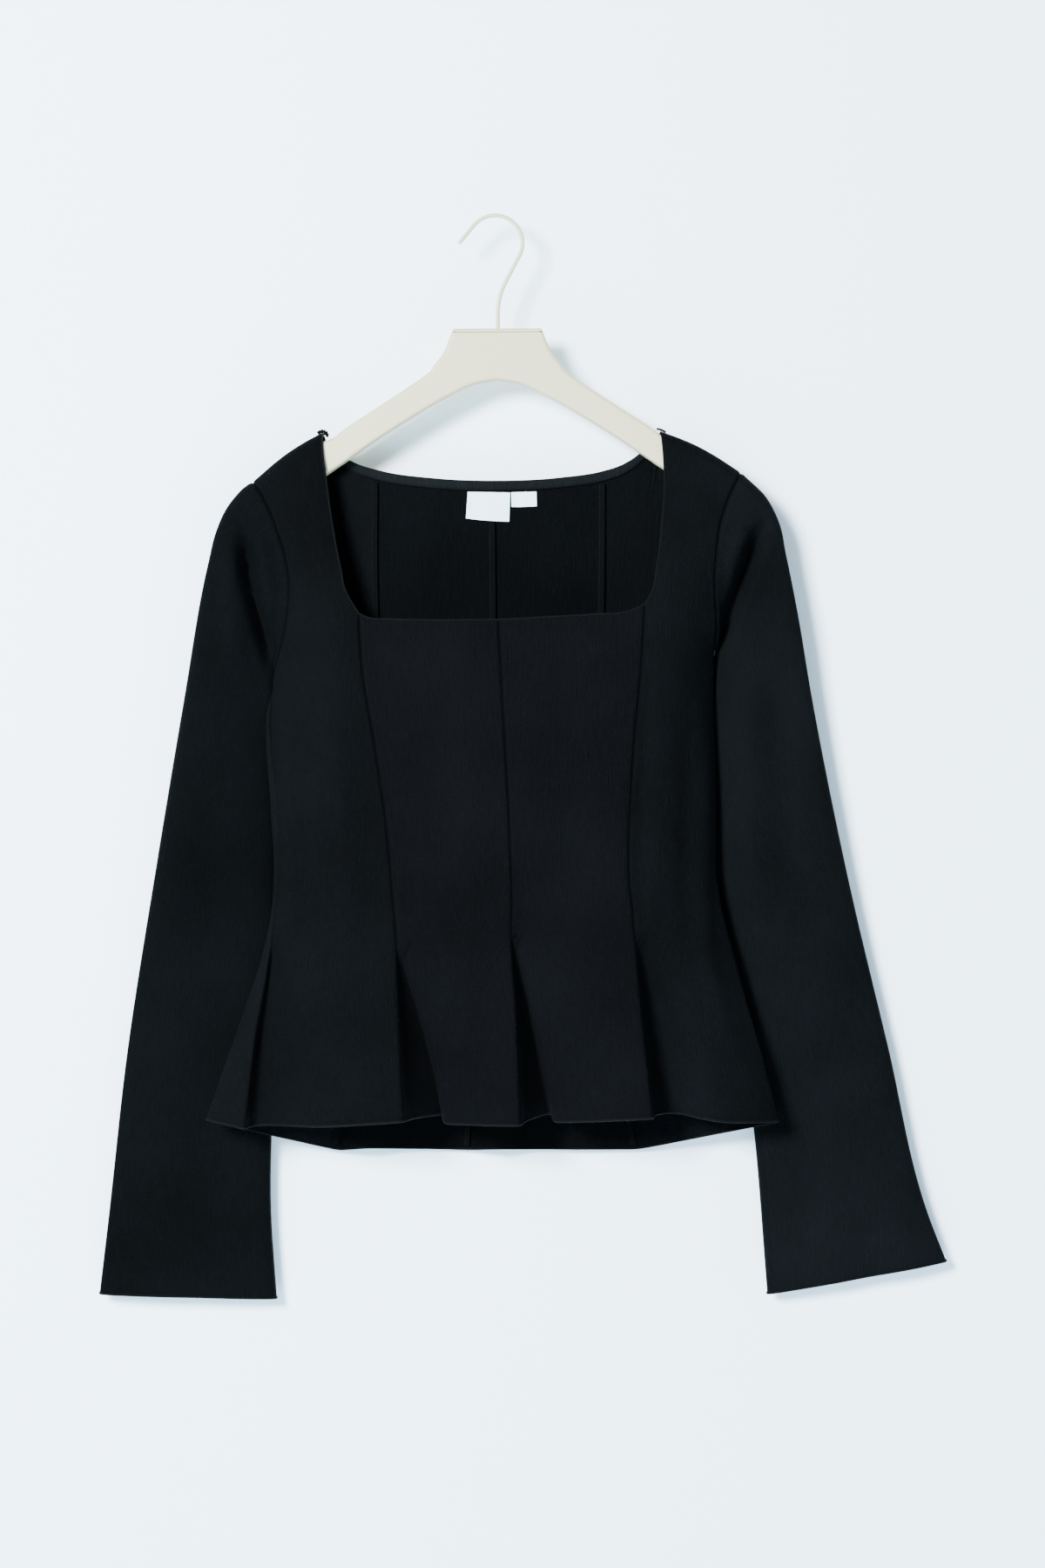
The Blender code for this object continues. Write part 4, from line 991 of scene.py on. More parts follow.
def tube_faces(rings, sides, closed=False):
    """Quads between the rings of a tube, and its two ends unless the last ring meets the first."""
    r, c = np.meshgrid(np.arange(rings if closed else rings - 1), np.arange(sides), indexing="ij")
    here, after, beside = r * sides, (r + 1) % rings * sides, (c + 1) % sides
    faces = np.stack((here + c, here + beside, after + beside, after + c), axis=-1).reshape(-1, 4).tolist()
    if not closed:
        faces.append(list(range(sides - 1, -1, -1)))
        faces.append(list(range((rings - 1) * sides, rings * sides)))
    return faces


def circles(aside, up, angle):
    """A ring of unit directions about each point of a path, from its two cross directions."""
    return up[:, None] * np.cos(angle)[None, :, None] + aside[:, None] * np.sin(angle)[None, :, None]


def unit(vectors):
    """The same directions with a length of one."""
    return vectors / np.maximum(np.linalg.norm(vectors, axis=-1, keepdims=True), 1e-9)


def along_path(places, way, points):
    """A path's points, or its normals, at places along its way."""
    return np.stack([np.interp(places, way, points[:, axis]) for axis in range(3)], axis=1)


def roll(name, path, normal, radius, pitch=STITCH_PITCH, depth=0.12, closed=False, sides=8):
    """A sewn edge as a tube along a path: a circle whose radius rises and falls in a helix, once for
    each stitch."""
    path = np.asarray(path, float)
    normal = np.asarray(normal, float)
    if closed:
        path = np.concatenate((path, path[:1]))
        normal = np.concatenate((normal, normal[:1]))
    way = lengths(path[:, None])[:, 0]
    stitches = max(4, int(round(way[-1] / pitch)))
    count = stitches * 4 + (0 if closed else 1)
    places = np.linspace(0, way[-1], count, endpoint=not closed)
    line = along_path(places, way, path)
    up = along_path(places, way, normal)
    if closed:
        wide = np.concatenate((line[-2:], line, line[:2]))
        along = unit(np.gradient(wide, axis=0)[2:-2])
    else:
        along = unit(np.gradient(line, axis=0))
    up = unit(up - along * np.sum(up * along, axis=1, keepdims=True))
    angle = np.linspace(0, 2 * math.pi, sides, endpoint=False)
    phase = 2 * math.pi * np.arange(count)[:, None] / 4 + angle[None]
    size = radius * (1 + depth * np.cos(phase))
    points = line[:, None] + circles(np.cross(along, up), up, angle) * size[..., None]
    return put_mesh(name, points.reshape(-1, 3), tube_faces(count, sides, closed))


def node_tools(material):
    """Short calls that add a node, and set its plain values, in a material."""
    tree = material.node_tree

    def add(kind, links=(), **values):
        node = tree.nodes.new(kind)
        for key, value in values.items():
            if hasattr(node, key) and key not in node.inputs:
                setattr(node, key, value)
            else:
                node.inputs[key.replace("_", " ")].default_value = value
        for source, target in links:
            tree.links.new(source, node.inputs[target])
        return node

    return tree, add


def new_material(name, colour, roughness, sheen, specular):
    """A Principled material with its plain values on the shader's own sockets."""
    material = bpy.data.materials.new(name)
    material.use_nodes = True
    shader = material.node_tree.nodes["Principled BSDF"]
    shader.inputs["Base Color"].default_value = (*colour, 1)
    shader.inputs["Roughness"].default_value = roughness
    shader.inputs["Sheen Weight"].default_value = sheen
    shader.inputs["Sheen Roughness"].default_value = 0.45
    shader.inputs["Sheen Tint"].default_value = (0.75, 0.85, 1.0, 1)
    shader.inputs["Specular IOR Level"].default_value = specular
    return material, shader


def times(colour, amount):
    """A colour made darker or lighter, with full alpha."""
    return (*[amount * value for value in colour], 1)


def blend(add, factor, low, high):
    """The colour that goes from low to high with a factor."""
    mix = add("ShaderNodeMix", [(factor, "Factor")], data_type="RGBA")
    mix.inputs[6].default_value = low
    mix.inputs[7].default_value = high
    return mix.outputs[2]


def raised(tree, add, shader, height, strength, distance):
    """Gives a material a fine relief from a height."""
    bump = add("ShaderNodeBump", [(height, "Height")], Strength=strength, Distance=distance)
    tree.links.new(bump.outputs["Normal"], shader.inputs["Normal"])


def rough(tree, add, shader, factor, low, high):
    """Lets a material's roughness go from low to high with a factor."""
    span = add("ShaderNodeMapRange", [(factor, "Value")])
    span.inputs["To Min"].default_value = low
    span.inputs["To Max"].default_value = high
    tree.links.new(span.outputs["Result"], shader.inputs["Roughness"])


def jersey(name, colour):
    """Black crepe jersey: fine upright ribs broken up by grain, in colour and in relief, and painted shade
    where a seam sinks.
    """
    material, shader = new_material(name, colour, 0.78, JERSEY_SHEEN, JERSEY_GLOSS)
    tree, add = node_tools(material)
    place = add("ShaderNodeTexCoord")
    ribs_at = add("ShaderNodeMapping", [(place.outputs["UV"], "Vector")], Scale=(62, 6, 1))
    ribs_from = [(ribs_at.outputs["Vector"], "Vector")]
    ribs = add("ShaderNodeTexNoise", ribs_from, Scale=1.0, Detail=3.0, Roughness=0.6)
    grain_at = add("ShaderNodeMapping", [(place.outputs["UV"], "Vector")], Scale=(150, 85, 1))
    grain = add("ShaderNodeTexNoise", [(grain_at.outputs["Vector"], "Vector")], Scale=1.0, Detail=2.0)
    patches = add("ShaderNodeTexNoise", [(place.outputs["Object"], "Vector")], Scale=9.0, Detail=3.0)
    relief = add("ShaderNodeMath", operation="MULTIPLY_ADD")
    tree.links.new(ribs.outputs["Fac"], relief.inputs[0])
    relief.inputs[1].default_value = 1.6
    tree.links.new(grain.outputs["Fac"], relief.inputs[2])
    raised(tree, add, shader, relief.outputs["Value"], 0.8, 0.0009)
    tone = add("ShaderNodeMath", operation="MULTIPLY_ADD")
    tree.links.new(ribs.outputs["Fac"], tone.inputs[0])
    tone.inputs[1].default_value = 0.6
    tree.links.new(patches.outputs["Fac"], tone.inputs[2])
    ramp = add("ShaderNodeMapRange", [(tone.outputs["Value"], "Value")])
    ramp.inputs["From Min"].default_value = 0.5
    ramp.inputs["From Max"].default_value = 1.1
    ribbed = blend(add, ramp.outputs["Result"], times(colour, 0.62), times(colour, 1.42))
    # Painted shade: the colour darkens where the seam attribute is set, as shade in a sunk seam
    seam = add("ShaderNodeAttribute", attribute_name="seam")
    sunk = add("ShaderNodeMix", [(seam.outputs["Fac"], "Factor"), (ribbed, 6)], data_type="RGBA")
    sunk.inputs[7].default_value = times(colour, SEAM_PAINTED_SHADE)
    tree.links.new(sunk.outputs[2], shader.inputs["Base Color"])
    rough(tree, add, shader, grain.outputs["Fac"], 0.68, 0.9)
    return material


def thread(name, colour):
    """Matt sewing thread over cloth: fine grain in colour and relief."""
    material, shader = new_material(name, colour, 0.72, 0.004, 0.03)
    tree, add = node_tools(material)
    place = add("ShaderNodeTexCoord")
    grain = add("ShaderNodeTexNoise", [(place.outputs["Object"], "Vector")], Scale=1400.0, Detail=2.0)
    raised(tree, add, shader, grain.outputs["Fac"], 0.5, 0.0004)
    tint = blend(add, grain.outputs["Fac"], times(colour, 0.6), times(colour, 1.5))
    tree.links.new(tint, shader.inputs["Base Color"])
    return material


def ribbon(name, colour):
    """Woven label ribbon: a fine cross weave in relief and a slight sheen."""
    material, shader = new_material(name, colour, 0.55, 0.1, 0.4)
    tree, add = node_tools(material)
    place = add("ShaderNodeTexCoord")
    across = add("ShaderNodeTexWave", [(place.outputs["Object"], "Vector")], Scale=900.0)
    down = add("ShaderNodeTexWave", [(place.outputs["Object"], "Vector")], bands_direction="Z", Scale=1100.0)
    weave = add("ShaderNodeMath", operation="MAXIMUM")
    tree.links.new(across.outputs["Fac"], weave.inputs[0])
    tree.links.new(down.outputs["Fac"], weave.inputs[1])
    raised(tree, add, shader, weave.outputs["Value"], 0.3, 0.0002)
    tint = blend(add, weave.outputs["Value"], times(colour, 0.9), times(colour, 1.0))
    tree.links.new(tint, shader.inputs["Base Color"])
    return material


def moulded(name, colour, warm):
    """Off-white moulded plastic: slow drifts towards a warmer tone and a very fine pebbled relief."""
    material, shader = new_material(name, colour, 0.5, 0.0, 0.4)
    tree, add = node_tools(material)
    place = add("ShaderNodeTexCoord")
    drift = add("ShaderNodeTexNoise", [(place.outputs["Object"], "Vector")], Scale=14.0, Detail=2.0)
    grain = add("ShaderNodeTexNoise", [(place.outputs["Object"], "Vector")], Scale=900.0, Detail=2.0)
    tint = blend(add, drift.outputs["Fac"], (*colour, 1), (*warm, 1))
    tree.links.new(tint, shader.inputs["Base Color"])
    raised(tree, add, shader, grain.outputs["Fac"], 0.2, 0.0002)
    rough(tree, add, shader, grain.outputs["Fac"], 0.42, 0.58)
    return material


def finish_piece(piece, material, slot, *nodes):
    """Gives a piece its material and its body, and hides the CAD nodes that it stands for. The slot is not
    used.
    """
    piece.data.materials.append(material)
    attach(piece, "root")
    if nodes:
        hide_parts(*nodes)


def once(name, make, colour):
    """The material of that name, made when it is first asked for."""
    return bpy.data.materials.get(name) or make(name, colour)


def build_panel(name, settings):
    """One body panel as a thin wall, sunk along its seams and painted darker there as shade."""
    grid, normal, side, stations = shapes()[name]
    left, right = distances(grid)
    dip = seam_dip(left) * seam_shown(name, "left", stations)
    dip = dip + seam_dip(right) * seam_shown(name, "right", stations)
    if "side" in name:
        down = lengths(grid[:, 8:9])[:, 0]
        dip = dip + seam_dip(down)[:, None]
    half = settings.cloth / MM / 2
    # The seam attribute paints shade along the sunk seams
    piece = shell(name + "_cloth", grid, normal, half - dip, half, side, seam=dip / SEAM_DIP)
    # Some panels take a lighter or darker copy of the jersey: painted light and shade
    kind, key = PANEL_LIGHT_AND_SHADE.get(name, ("jersey", "jersey"))
    finish_piece(piece, once(kind, jersey, getattr(settings, key)), "cloth", name)


def seam_shown(name, edge, stations):
    """1 along the sewn part of a panel's edge and 0 where the edge is a free neckline."""
    free = (name, edge) in (("front_side_left", "right"), ("front_side_right", "left"))
    shown = ease((stations - NECKLINE) / 4) if free else np.ones(len(stations))
    return shown[:, None]


def build_sleeve(hand, settings):
    """One sleeve as a thin tube, sunk along the armhole and its underarm seam and painted darker there as
    shade.
    """
    name = "sleeve_" + hand
    grid, normal, side, rings = shapes()[name]
    columns = grid.shape[1]
    seam = columns // 2 - 1
    away = np.abs(np.arange(columns) - seam)
    step = np.linalg.norm(grid[:, seam] - grid[:, seam - 1], axis=1)
    underarm = 0.8 * seam_dip(away[None] * step[:, None] * 0.6) * ease(rings / 0.02)[:, None]
    dip = ARMHOLE_DIP * seam_dip(lengths(grid)) + underarm
    half = settings.cloth / MM / 2
    # The seam attribute paints shade along the sunk armhole and underarm seam
    piece = shell(name + "_cloth", grid, normal, half - dip, half, side, True, dip / SEAM_DIP)
    # The right sleeve takes a lighter copy of the jersey, as painted light
    colour = settings.sleeve if hand == "left" else settings.sleeve_right
    finish_piece(piece, once("jersey_sleeve_" + hand, jersey, colour), "cloth", name)


def hem_path():
    """The whole hem as one loop: along the front from left to right, and back along the back."""
    made = shapes()
    loop = []
    for part in (0, 1):
        front = [made["front_" + name][part][-1] for name in PANELS]
        back = [made["back_" + name][part][-1][::-1] for name in PANELS[::-1]]
        loop.append(np.concatenate([line[:-1] for line in front + back]))
    return loop


def neck_path():
    """The front neckline from the left neck point, down the strap, across and up the right strap."""
    made = shapes()
    skip = len(made["front_side_left"][0]) - len(made["front_centre_left"][0])
    parts, ups = [], []
    for name, at in (
        ("front_side_left", (np.s_[: skip + 1], -1)),
        ("front_centre_left", (0, np.s_[1:])),
        ("front_centre_right", (0, np.s_[1:])),
        ("front_side_right", (np.s_[skip - 1 :: -1], 0)),
    ):
        parts.append(made[name][0][at])
        ups.append(made[name][1][at])
    return np.concatenate(parts), np.concatenate(ups)


def build_edges(settings):
    """The rolled edges of hem, cuffs and front neckline."""
    edge = once("edge_thread", thread, settings.thread)
    path, up = hem_path()
    pieces = [roll("hem_edge", path + (0, 0, 0.6), up, settings.hem_roll / MM, closed=True)]
    for hand in ("left", "right"):
        grid, normal, side, _ = shapes()["sleeve_" + hand]
        ring = grid[-1] if side < 0 else grid[-1][::-1]
        up = normal[-1] if side < 0 else normal[-1][::-1]
        pieces.append(roll("cuff_edge_" + hand, ring + (0, 0, 0.6), up, settings.hem_roll / MM, closed=True))
    path, up = neck_path()
    pieces.append(roll("neck_edge", path, up, NECK_ROLL, depth=0.05))
    for piece in pieces:
        finish_piece(piece, edge, "cloth")


def build_seam_ends(settings):
    """The ends of the shoulder seams at the neck: a lumpy knot of thread at the left, and the rolled
    edge's pointed end at the right."""
    material = once("edge_thread", thread, settings.thread)
    for name, path, radius, depth in SEAM_ENDS:
        line = cubic(np.arange(len(path)), np.array(path, float), np.linspace(0, len(path) - 1, 24))
        up = np.tile((0.0, -1.0, 0.0), (len(line), 1))
        piece = roll("shoulder_" + name, line, up, radius, pitch=1.7, depth=depth, sides=9)
        finish_piece(piece, material, "cloth")


def allowance_grid(grid, normal, rows):
    """A strip beside a panel's last seam, on the inside of the cloth. It starts at the seam, where it
    stands off by its fold, follows the panel's own points aside, and lies down towards its free edge."""
    line = grid[rows, -1]
    beside = unit(grid[rows, -8] - line)
    inward = -normal[rows, -1]
    places = np.linspace(0, ALLOWANCE_WIDTH, 6)
    lift = CLOTH / 2 + AIR + ALLOWANCE_THICK / 2 + ALLOWANCE_RISE * (1 - places / ALLOWANCE_WIDTH) ** 0.7
    wave = 0.25 * np.sin(np.linspace(0, 40, len(line)))[:, None] * (places / ALLOWANCE_WIDTH)[None]
    strip = line[:, None] + beside[:, None] * places[None, :, None]
    return strip + inward[:, None] * (lift[None] + wave)[..., None], inward


def build_allowances(settings):
    """The overlocked seam allowances inside the body, turned to the left of each lengthwise seam."""
    material = once("edge_thread", thread, settings.thread)
    inside = once("jersey", jersey, settings.jersey)
    for name, start in ALLOWANCES:
        grid, normal = shapes()[name][:2]
        rows = np.s_[start : len(grid) - 3]
        strip, inward = allowance_grid(grid, normal, rows)
        half = ALLOWANCE_THICK / 2
        piece = shell("allowance_" + name, strip, normals(strip, 1), half, half, 1)
        finish_piece(piece, inside, "cloth")
        edge = roll("overlock_" + name, strip[:, -1], inward, OVERLOCK, OVERLOCK_PITCH, 0.2, sides=7)
        finish_piece(edge, material, "cloth")


def back_neck_line():
    """The top rows of the four back panels side by side, from past one neck point to the other."""
    made = shapes()
    strips, ups = [], []
    for name in PANELS:
        grid, normal = made["back_" + name][:2]
        columns = grid.shape[1]
        first = int(columns * TAPE_FROM) if name == "side_left" else 0
        last = columns - int(columns * TAPE_FROM) if name == "side_right" else columns - 1
        strips.append(grid[:14, first:last])
        ups.append(normal[:14, first:last])
    return np.concatenate(strips, axis=1), np.concatenate(ups, axis=1)


def build_neck_tape(settings):
    """The tape that covers the back neck seam inside, with a line of stitches along its lower edge and a
    painted shadow along that edge.
    """
    grid, normal = back_neck_line()
    top, down = grid[0], grid[8] - grid[0]
    down = unit(down)
    inward = unit(-(normal[0] + normal[8]))
    places = np.array((0.2, 0.7, 2, 3.5, 5, 6.4, 7.5, TAPE_WIDTH))
    crown = 0.25 * np.sin(math.pi * places / TAPE_WIDTH)
    lift = CLOTH / 2 + AIR + TAPE_THICK / 2 + crown
    strip = top[None] + down[None] * places[:, None, None] + inward[None] * lift[:, None, None]
    normal = normals(strip, -1)
    stitch_row = np.exp(-(((places - 6.4) / 0.5) ** 2))[:, None] * np.ones(strip.shape[1])
    # Painted shadow: the strip's lower edge is painted dark through the seam attribute
    lower = ease((places - 7.2) / 0.6)[:, None] * np.ones(strip.shape[1])
    half = TAPE_THICK / 2
    piece = shell("neck_tape_cloth", strip, normal, half - 0.18 * stitch_row, half, -1, seam=lower)
    finish_piece(piece, once("tape", jersey, settings.tape), "neck_tape", "back_neck_tape")
    line = strip[5] + normal[5] * (TAPE_THICK / 2 - 0.12)
    stitches = stitch_line("tape_stitches", line, normal[5])
    finish_piece(stitches, once("edge_thread", thread, settings.thread), "neck_tape")


def stitch_line(name, path, normal):
    """Separate stitches along a path: each is a spindle of six sides, thin at its ends."""
    way = lengths(path[:, None])[:, 0]
    count = int(way[-1] / TAPE_STITCH_PITCH)
    middles = (np.arange(count) + 0.5) * TAPE_STITCH_PITCH
    radius = TAPE_STITCH_RADIUS
    angle = np.linspace(0, 2 * math.pi, 6, endpoint=False)
    profile = ((-0.5, 0.25), (-0.36, 0.85), (0, 1.0), (0.36, 0.85), (0.5, 0.25))
    rings = []
    for along, size in profile:
        places = middles + along * TAPE_STITCH_LENGTH
        at = along_path(places, way, path)
        up = along_path(places, way, normal)
        forward = along_path(places + 0.5, way, path) - at
        circle = circles(up, unit(np.cross(forward, up)), angle)
        rings.append(at[:, None] + circle * radius * size - up[:, None] * 0.3 * radius * (1 - size))
    points = np.stack(rings, axis=1).reshape(-1, 3)
    one = tube_faces(len(profile), len(angle))
    each = len(angle) * len(profile)
    faces = [[each * k + corner for corner in face] for k in range(count) for face in one]
    return put_mesh(name, points, faces)


def build_labels(settings):
    """The two blank labels: each is a four-cornered sheet that hangs off the cloth, sagging and curling
    a little forward at its foot."""
    made = shapes()
    behind = [made[name][0][:30].reshape(-1, 3) for name in ("back_centre_left", "back_centre_right")]
    cloth = np.concatenate(behind)
    for name, corners, sag, curl in LABELS:
        across = np.linspace(0, 1, 30)
        down = np.linspace(0, 1, 24)
        (x0, z0), (x1, z1), (x2, z2), (x3, z3) = corners
        u, v = np.meshgrid(across, down)
        x = (x0 * (1 - u) + x1 * u) * (1 - v) + (x3 * (1 - u) + x2 * u) * v
        z = (z0 * (1 - u) + z1 * u) * (1 - v) + (z3 * (1 - u) + z2 * u) * v
        z -= sag * np.sin(math.pi * u) * v
        apart = (x.ravel()[:, None] - cloth[None, :, 0]) ** 2 + (z.ravel()[:, None] - cloth[None, :, 2]) ** 2
        share = np.exp(-(apart - apart.min(axis=1, keepdims=True)) / 12)
        near = (np.sum(share * cloth[None, :, 1], axis=1) / share.sum(axis=1)).reshape(z.shape)
        wave = LABEL_WAVE * np.sin(2 * math.pi * (1.6 * u + 0.4)) * v
        pucker = LABEL_PUCKER * np.sin(2 * math.pi * 3.5 * u + 1) * np.exp(-((v / 0.14) ** 2))
        y = near - CLOTH / 2 - LABEL_STAND_OFF - curl * v**1.5 - wave - pucker - AIR
        grid = np.stack((x, y, z), axis=2)
        half = LABEL_THICK / 2
        piece = shell(name + "_ribbon", grid, normals(grid, -1), half, half, -1)
        finish_piece(piece, once("ribbon", ribbon, settings.label), "label", name)


def tilted(points):
    """Turns points about the hang point, as the hanger hangs a little lower on its left."""
    cosine, sine = math.cos(HANGER_TILT), math.sin(HANGER_TILT)
    turned = np.array(points, float)
    turned[:, 0] = points[:, 0] * cosine - points[:, 2] * sine
    turned[:, 2] = points[:, 0] * sine + points[:, 2] * cosine
    return turned


def build_hanger_body(settings):
    """The moulded hanger: its outline through the two edge tables, drawn out to its thickness over
    quarter-round edges. The faces between are flat."""
    half = np.array(HANGER_TOP_EDGE + HANGER_LOWER_EDGE, float)
    steps = np.linspace(0, len(half) - 1, 10 * (len(half) - 1) + 1)
    right = cubic(np.arange(len(half)), half, steps)
    outline = np.concatenate((right, right[-2::-1] * (-1, 1)))
    count = len(outline)
    inward = np.gradient(np.concatenate((outline[-1:], outline, outline[:1])), axis=0)[1:-1]
    inward = unit(np.column_stack((inward[:, 1], -inward[:, 0])))
    rings = [(HANGER_ROUNDING + 0.8, -HANGER_HALF_THICK)]
    for angle in np.radians((-90, -72, -54, -36, -18, 0)):
        back = HANGER_ROUNDING * (1 - math.cos(angle))
        depth = -(HANGER_HALF_THICK - HANGER_ROUNDING) + HANGER_ROUNDING * math.sin(angle)
        rings.append((back, depth))
    rings += [(back, -depth) for back, depth in rings[::-1]]
    points = []
    for back, depth in rings:
        flat = outline + inward * back
        points.append(np.column_stack((flat[:, 0], np.full(count, depth), flat[:, 1])))
    piece = put_mesh("hanger_moulding", tilted(np.concatenate(points)), tube_faces(len(rings), count))
    plastic = moulded("hanger_plastic", settings.hanger, settings.hanger_warm)
    finish_piece(piece, plastic, "hanger", "hanger_body")


def hook_path():
    """The hook's middle line: stem, a bend, a slant, the round hook and its open tip."""
    centre = np.array([HOOK_CENTRE_X, -(HOOK_RADIUS - HOOK_WIRE / 2)])
    low, high = np.radians(HOOK_ARC)
    turn = np.linspace(low, high, 60)
    arc = centre + HOOK_RADIUS * np.column_stack((np.cos(turn), np.sin(turn)))
    slant = np.array((math.sin(low), -math.cos(low)))
    reach = (arc[0, 0] - STEM_X) / -slant[0]
    corner = arc[0] + slant * reach
    before = corner - slant * HOOK_FILLET
    after = corner - np.array((0, HOOK_FILLET))
    t = np.linspace(0, 1, 20)[:, None]
    bend = (1 - t) ** 2 * after + 2 * t * (1 - t) * corner + t * t * before
    stem = np.array([[STEM_X, PLATE_TOP + 0.3], [STEM_X, PLATE_TOP + 4]])
    ahead = np.array((-math.sin(high), math.cos(high)))
    tip = arc[-1] + ahead * np.linspace(0.08, 1, 12)[:, None] * HOOK_TIP
    flat = np.concatenate((stem, bend, arc[1:], tip))
    return np.column_stack((flat[:, 0], np.zeros(len(flat)), flat[:, 1]))


def build_hook(settings):
    """The wire hook: a round wire along its path, with a domed tip."""
    path = hook_path()
    radius = HOOK_WIRE / 2
    along = unit(np.gradient(path, axis=0))
    dome = np.radians((30, 60, 80))
    path = np.concatenate((path[:-1], path[-1] + along[-1] * radius * (np.sin(dome)[:, None] - 1)))
    size = np.concatenate((np.full(len(along) - 1, radius), radius * np.cos(dome)))
    along = np.concatenate((along[:-1], np.repeat(along[-1:], 3, axis=0)))
    back = np.tile((0.0, 1.0, 0.0), (len(path), 1))
    angle = np.linspace(0, 2 * math.pi, HOOK_SIDES, endpoint=False)
    round_wire = circles(back, np.cross(along, back), angle) * size[:, None, None]
    points = (path[:, None] + round_wire).reshape(-1, 3)
    faces = [face[:1] + face[:0:-1] for face in tube_faces(len(path), HOOK_SIDES)]
    piece = put_mesh("hook_wire", tilted(points), faces)
    coating = moulded("hook_coating", settings.hook, settings.hanger_warm)
    finish_piece(piece, coating, "hook", "hanger_hook")


def stage_material(name, colour, one_sided):
    """Matt pale paint. A one-sided surface can't be seen from behind."""
    material, shader = new_material(name, colour, 0.9, 0.0, 0.2)
    if one_sided:
        tree, add = node_tools(material)
        side = add("ShaderNodeNewGeometry")
        clear = add("ShaderNodeBsdfTransparent")
        parts = [(side.outputs["Backfacing"], 0), (shader.outputs[0], 1), (clear.outputs[0], 2)]
        mix = add("ShaderNodeMixShader", parts)
        tree.links.new(mix.outputs[0], tree.nodes["Material Output"].inputs["Surface"])
    return material


def add_light(name, place, size, energy, colour):
    """A square area light at a place in metres, turned towards the top."""
    light = bpy.data.lights.new(name, "AREA")
    light.size = size
    light.energy = energy
    light.color = colour
    body = bpy.data.objects.new(name, light)
    body.location = place
    body.rotation_euler = (Vector(LIGHTS_FACE) - Vector(place)).to_track_quat("-Z", "Y").to_euler()
    bpy.context.scene.collection.objects.link(body)


def build_stage(settings):
    """The floor, the wall close behind, the lights and the camera at the photograph's place."""
    r, back, low = STAGE_REACH, WALL_PLACE, FLOOR_HEIGHT
    corners = ((-r, back, low), (r, back, low), (r, back, WALL_TOP), (-r, back, WALL_TOP))
    wall = put_mesh("wall", corners, [[0, 1, 2, 3]])
    wall.data.materials.append(stage_material("wall_paint", settings.backdrop, True))
    wall.visible_shadow = False
    corners = ((-r, -r, low), (r, -r, low), (r, r, low), (-r, r, low))
    floor = put_mesh("floor", corners, [[0, 1, 2, 3]])
    floor.data.materials.append(stage_material("floor_paint", settings.backdrop, False))
    for light in LIGHTS:
        add_light(*light)
    world = bpy.data.worlds.new("studio")
    world.use_nodes = True
    sky = world.node_tree.nodes["Background"]
    sky.inputs["Color"].default_value = SKY_COLOUR
    sky.inputs["Strength"].default_value = SKY_STRENGTH
    bpy.context.scene.world = world
    camera = bpy.data.cameras.new("camera")
    camera.sensor_fit = "VERTICAL"
    camera.sensor_height = 36
    camera.lens = CAMERA_LENS
    body = bpy.data.objects.new("camera", camera)
    body.location = np.array(CAMERA_PLACE) * MM
    body.rotation_euler = (math.radians(90), 0, 0)
    bpy.context.scene.collection.objects.link(body)
    bpy.context.scene.camera = body


def colour_of(name, description, value):
    """A colour setting."""
    return FloatVectorProperty(name=name, description=description, default=value, subtype="COLOR")


def size_of(name, description, value):
    """A size setting, from millimetres."""
    return FloatProperty(name=name, description=description, default=value * MM, unit="LENGTH", precision=4)


class PeplumTopSettings(bpy.types.PropertyGroup):
    """Sizes and colours of the top and its hanger."""

    cloth: size_of("Cloth thickness", "Thickness of the jersey", CLOTH)
    hem_roll: size_of("Rolled edge", "Radius of the rolled hem", HEM_ROLL)
    jersey: colour_of("Jersey", "Colour of the side and back panels", (0.00092, 0.00128, 0.00158))
    # Lighter copies of the jersey as painted light (centre, side_right, turned), a darker one as painted
    # shade (back)
    centre: colour_of("Centre front", "Colour of the centre front", (0.00118, 0.00145, 0.00185))
    side_right: colour_of("Right side front", "Colour of the right side front", (0.0011, 0.00152, 0.00186))
    turned: colour_of("Left side back", "Colour of the left side back", (0.0012, 0.0016, 0.00195))
    back: colour_of("Centre back", "Colour of the centre back", (0.00072, 0.00106, 0.00132))
    sleeve: colour_of("Sleeve", "Colour of the left sleeve", (0.00085, 0.0013, 0.00155))
    # A lighter copy of the jersey, as painted light on the right sleeve
    sleeve_right: colour_of("Right sleeve", "Colour of the right sleeve", (0.0015, 0.0021, 0.0025))
    thread: colour_of("Thread", "Colour of the edges' thread", (0.0011, 0.0015, 0.0018))
    tape: colour_of("Neck tape", "Colour of the neck tape", (0.0028, 0.0036, 0.0041))
    label: colour_of("Labels", "Colour of the labels", (0.52, 0.73, 0.82))
    hanger: colour_of("Hanger", "Colour of the hanger", (0.345, 0.352, 0.23))
    hanger_warm: colour_of("Warm tone", "Warmer tone of the hanger", (0.37, 0.358, 0.228))
    hook: colour_of("Hook", "Colour of the hook's coating", (0.39, 0.38, 0.275))
    backdrop: colour_of("Backdrop", "Colour of wall and floor", (0.70, 0.85, 0.96))


class PEPLUM_OT_stage(bpy.types.Operator):
    """Sets up the wall, floor, lights and camera"""

    bl_idname = "peplum.stage"
    bl_label = "Stage"

    def execute(self, context):
        build_stage(context.scene.peplum_top)
        return {"FINISHED"}


class PEPLUM_OT_body(bpy.types.Operator):
    """Builds the eight body panels"""

    bl_idname = "peplum.body"
    bl_label = "Body panels"

    def execute(self, context):
        for name in shapes():
            if not name.startswith("sleeve"):
                build_panel(name, context.scene.peplum_top)
        return {"FINISHED"}


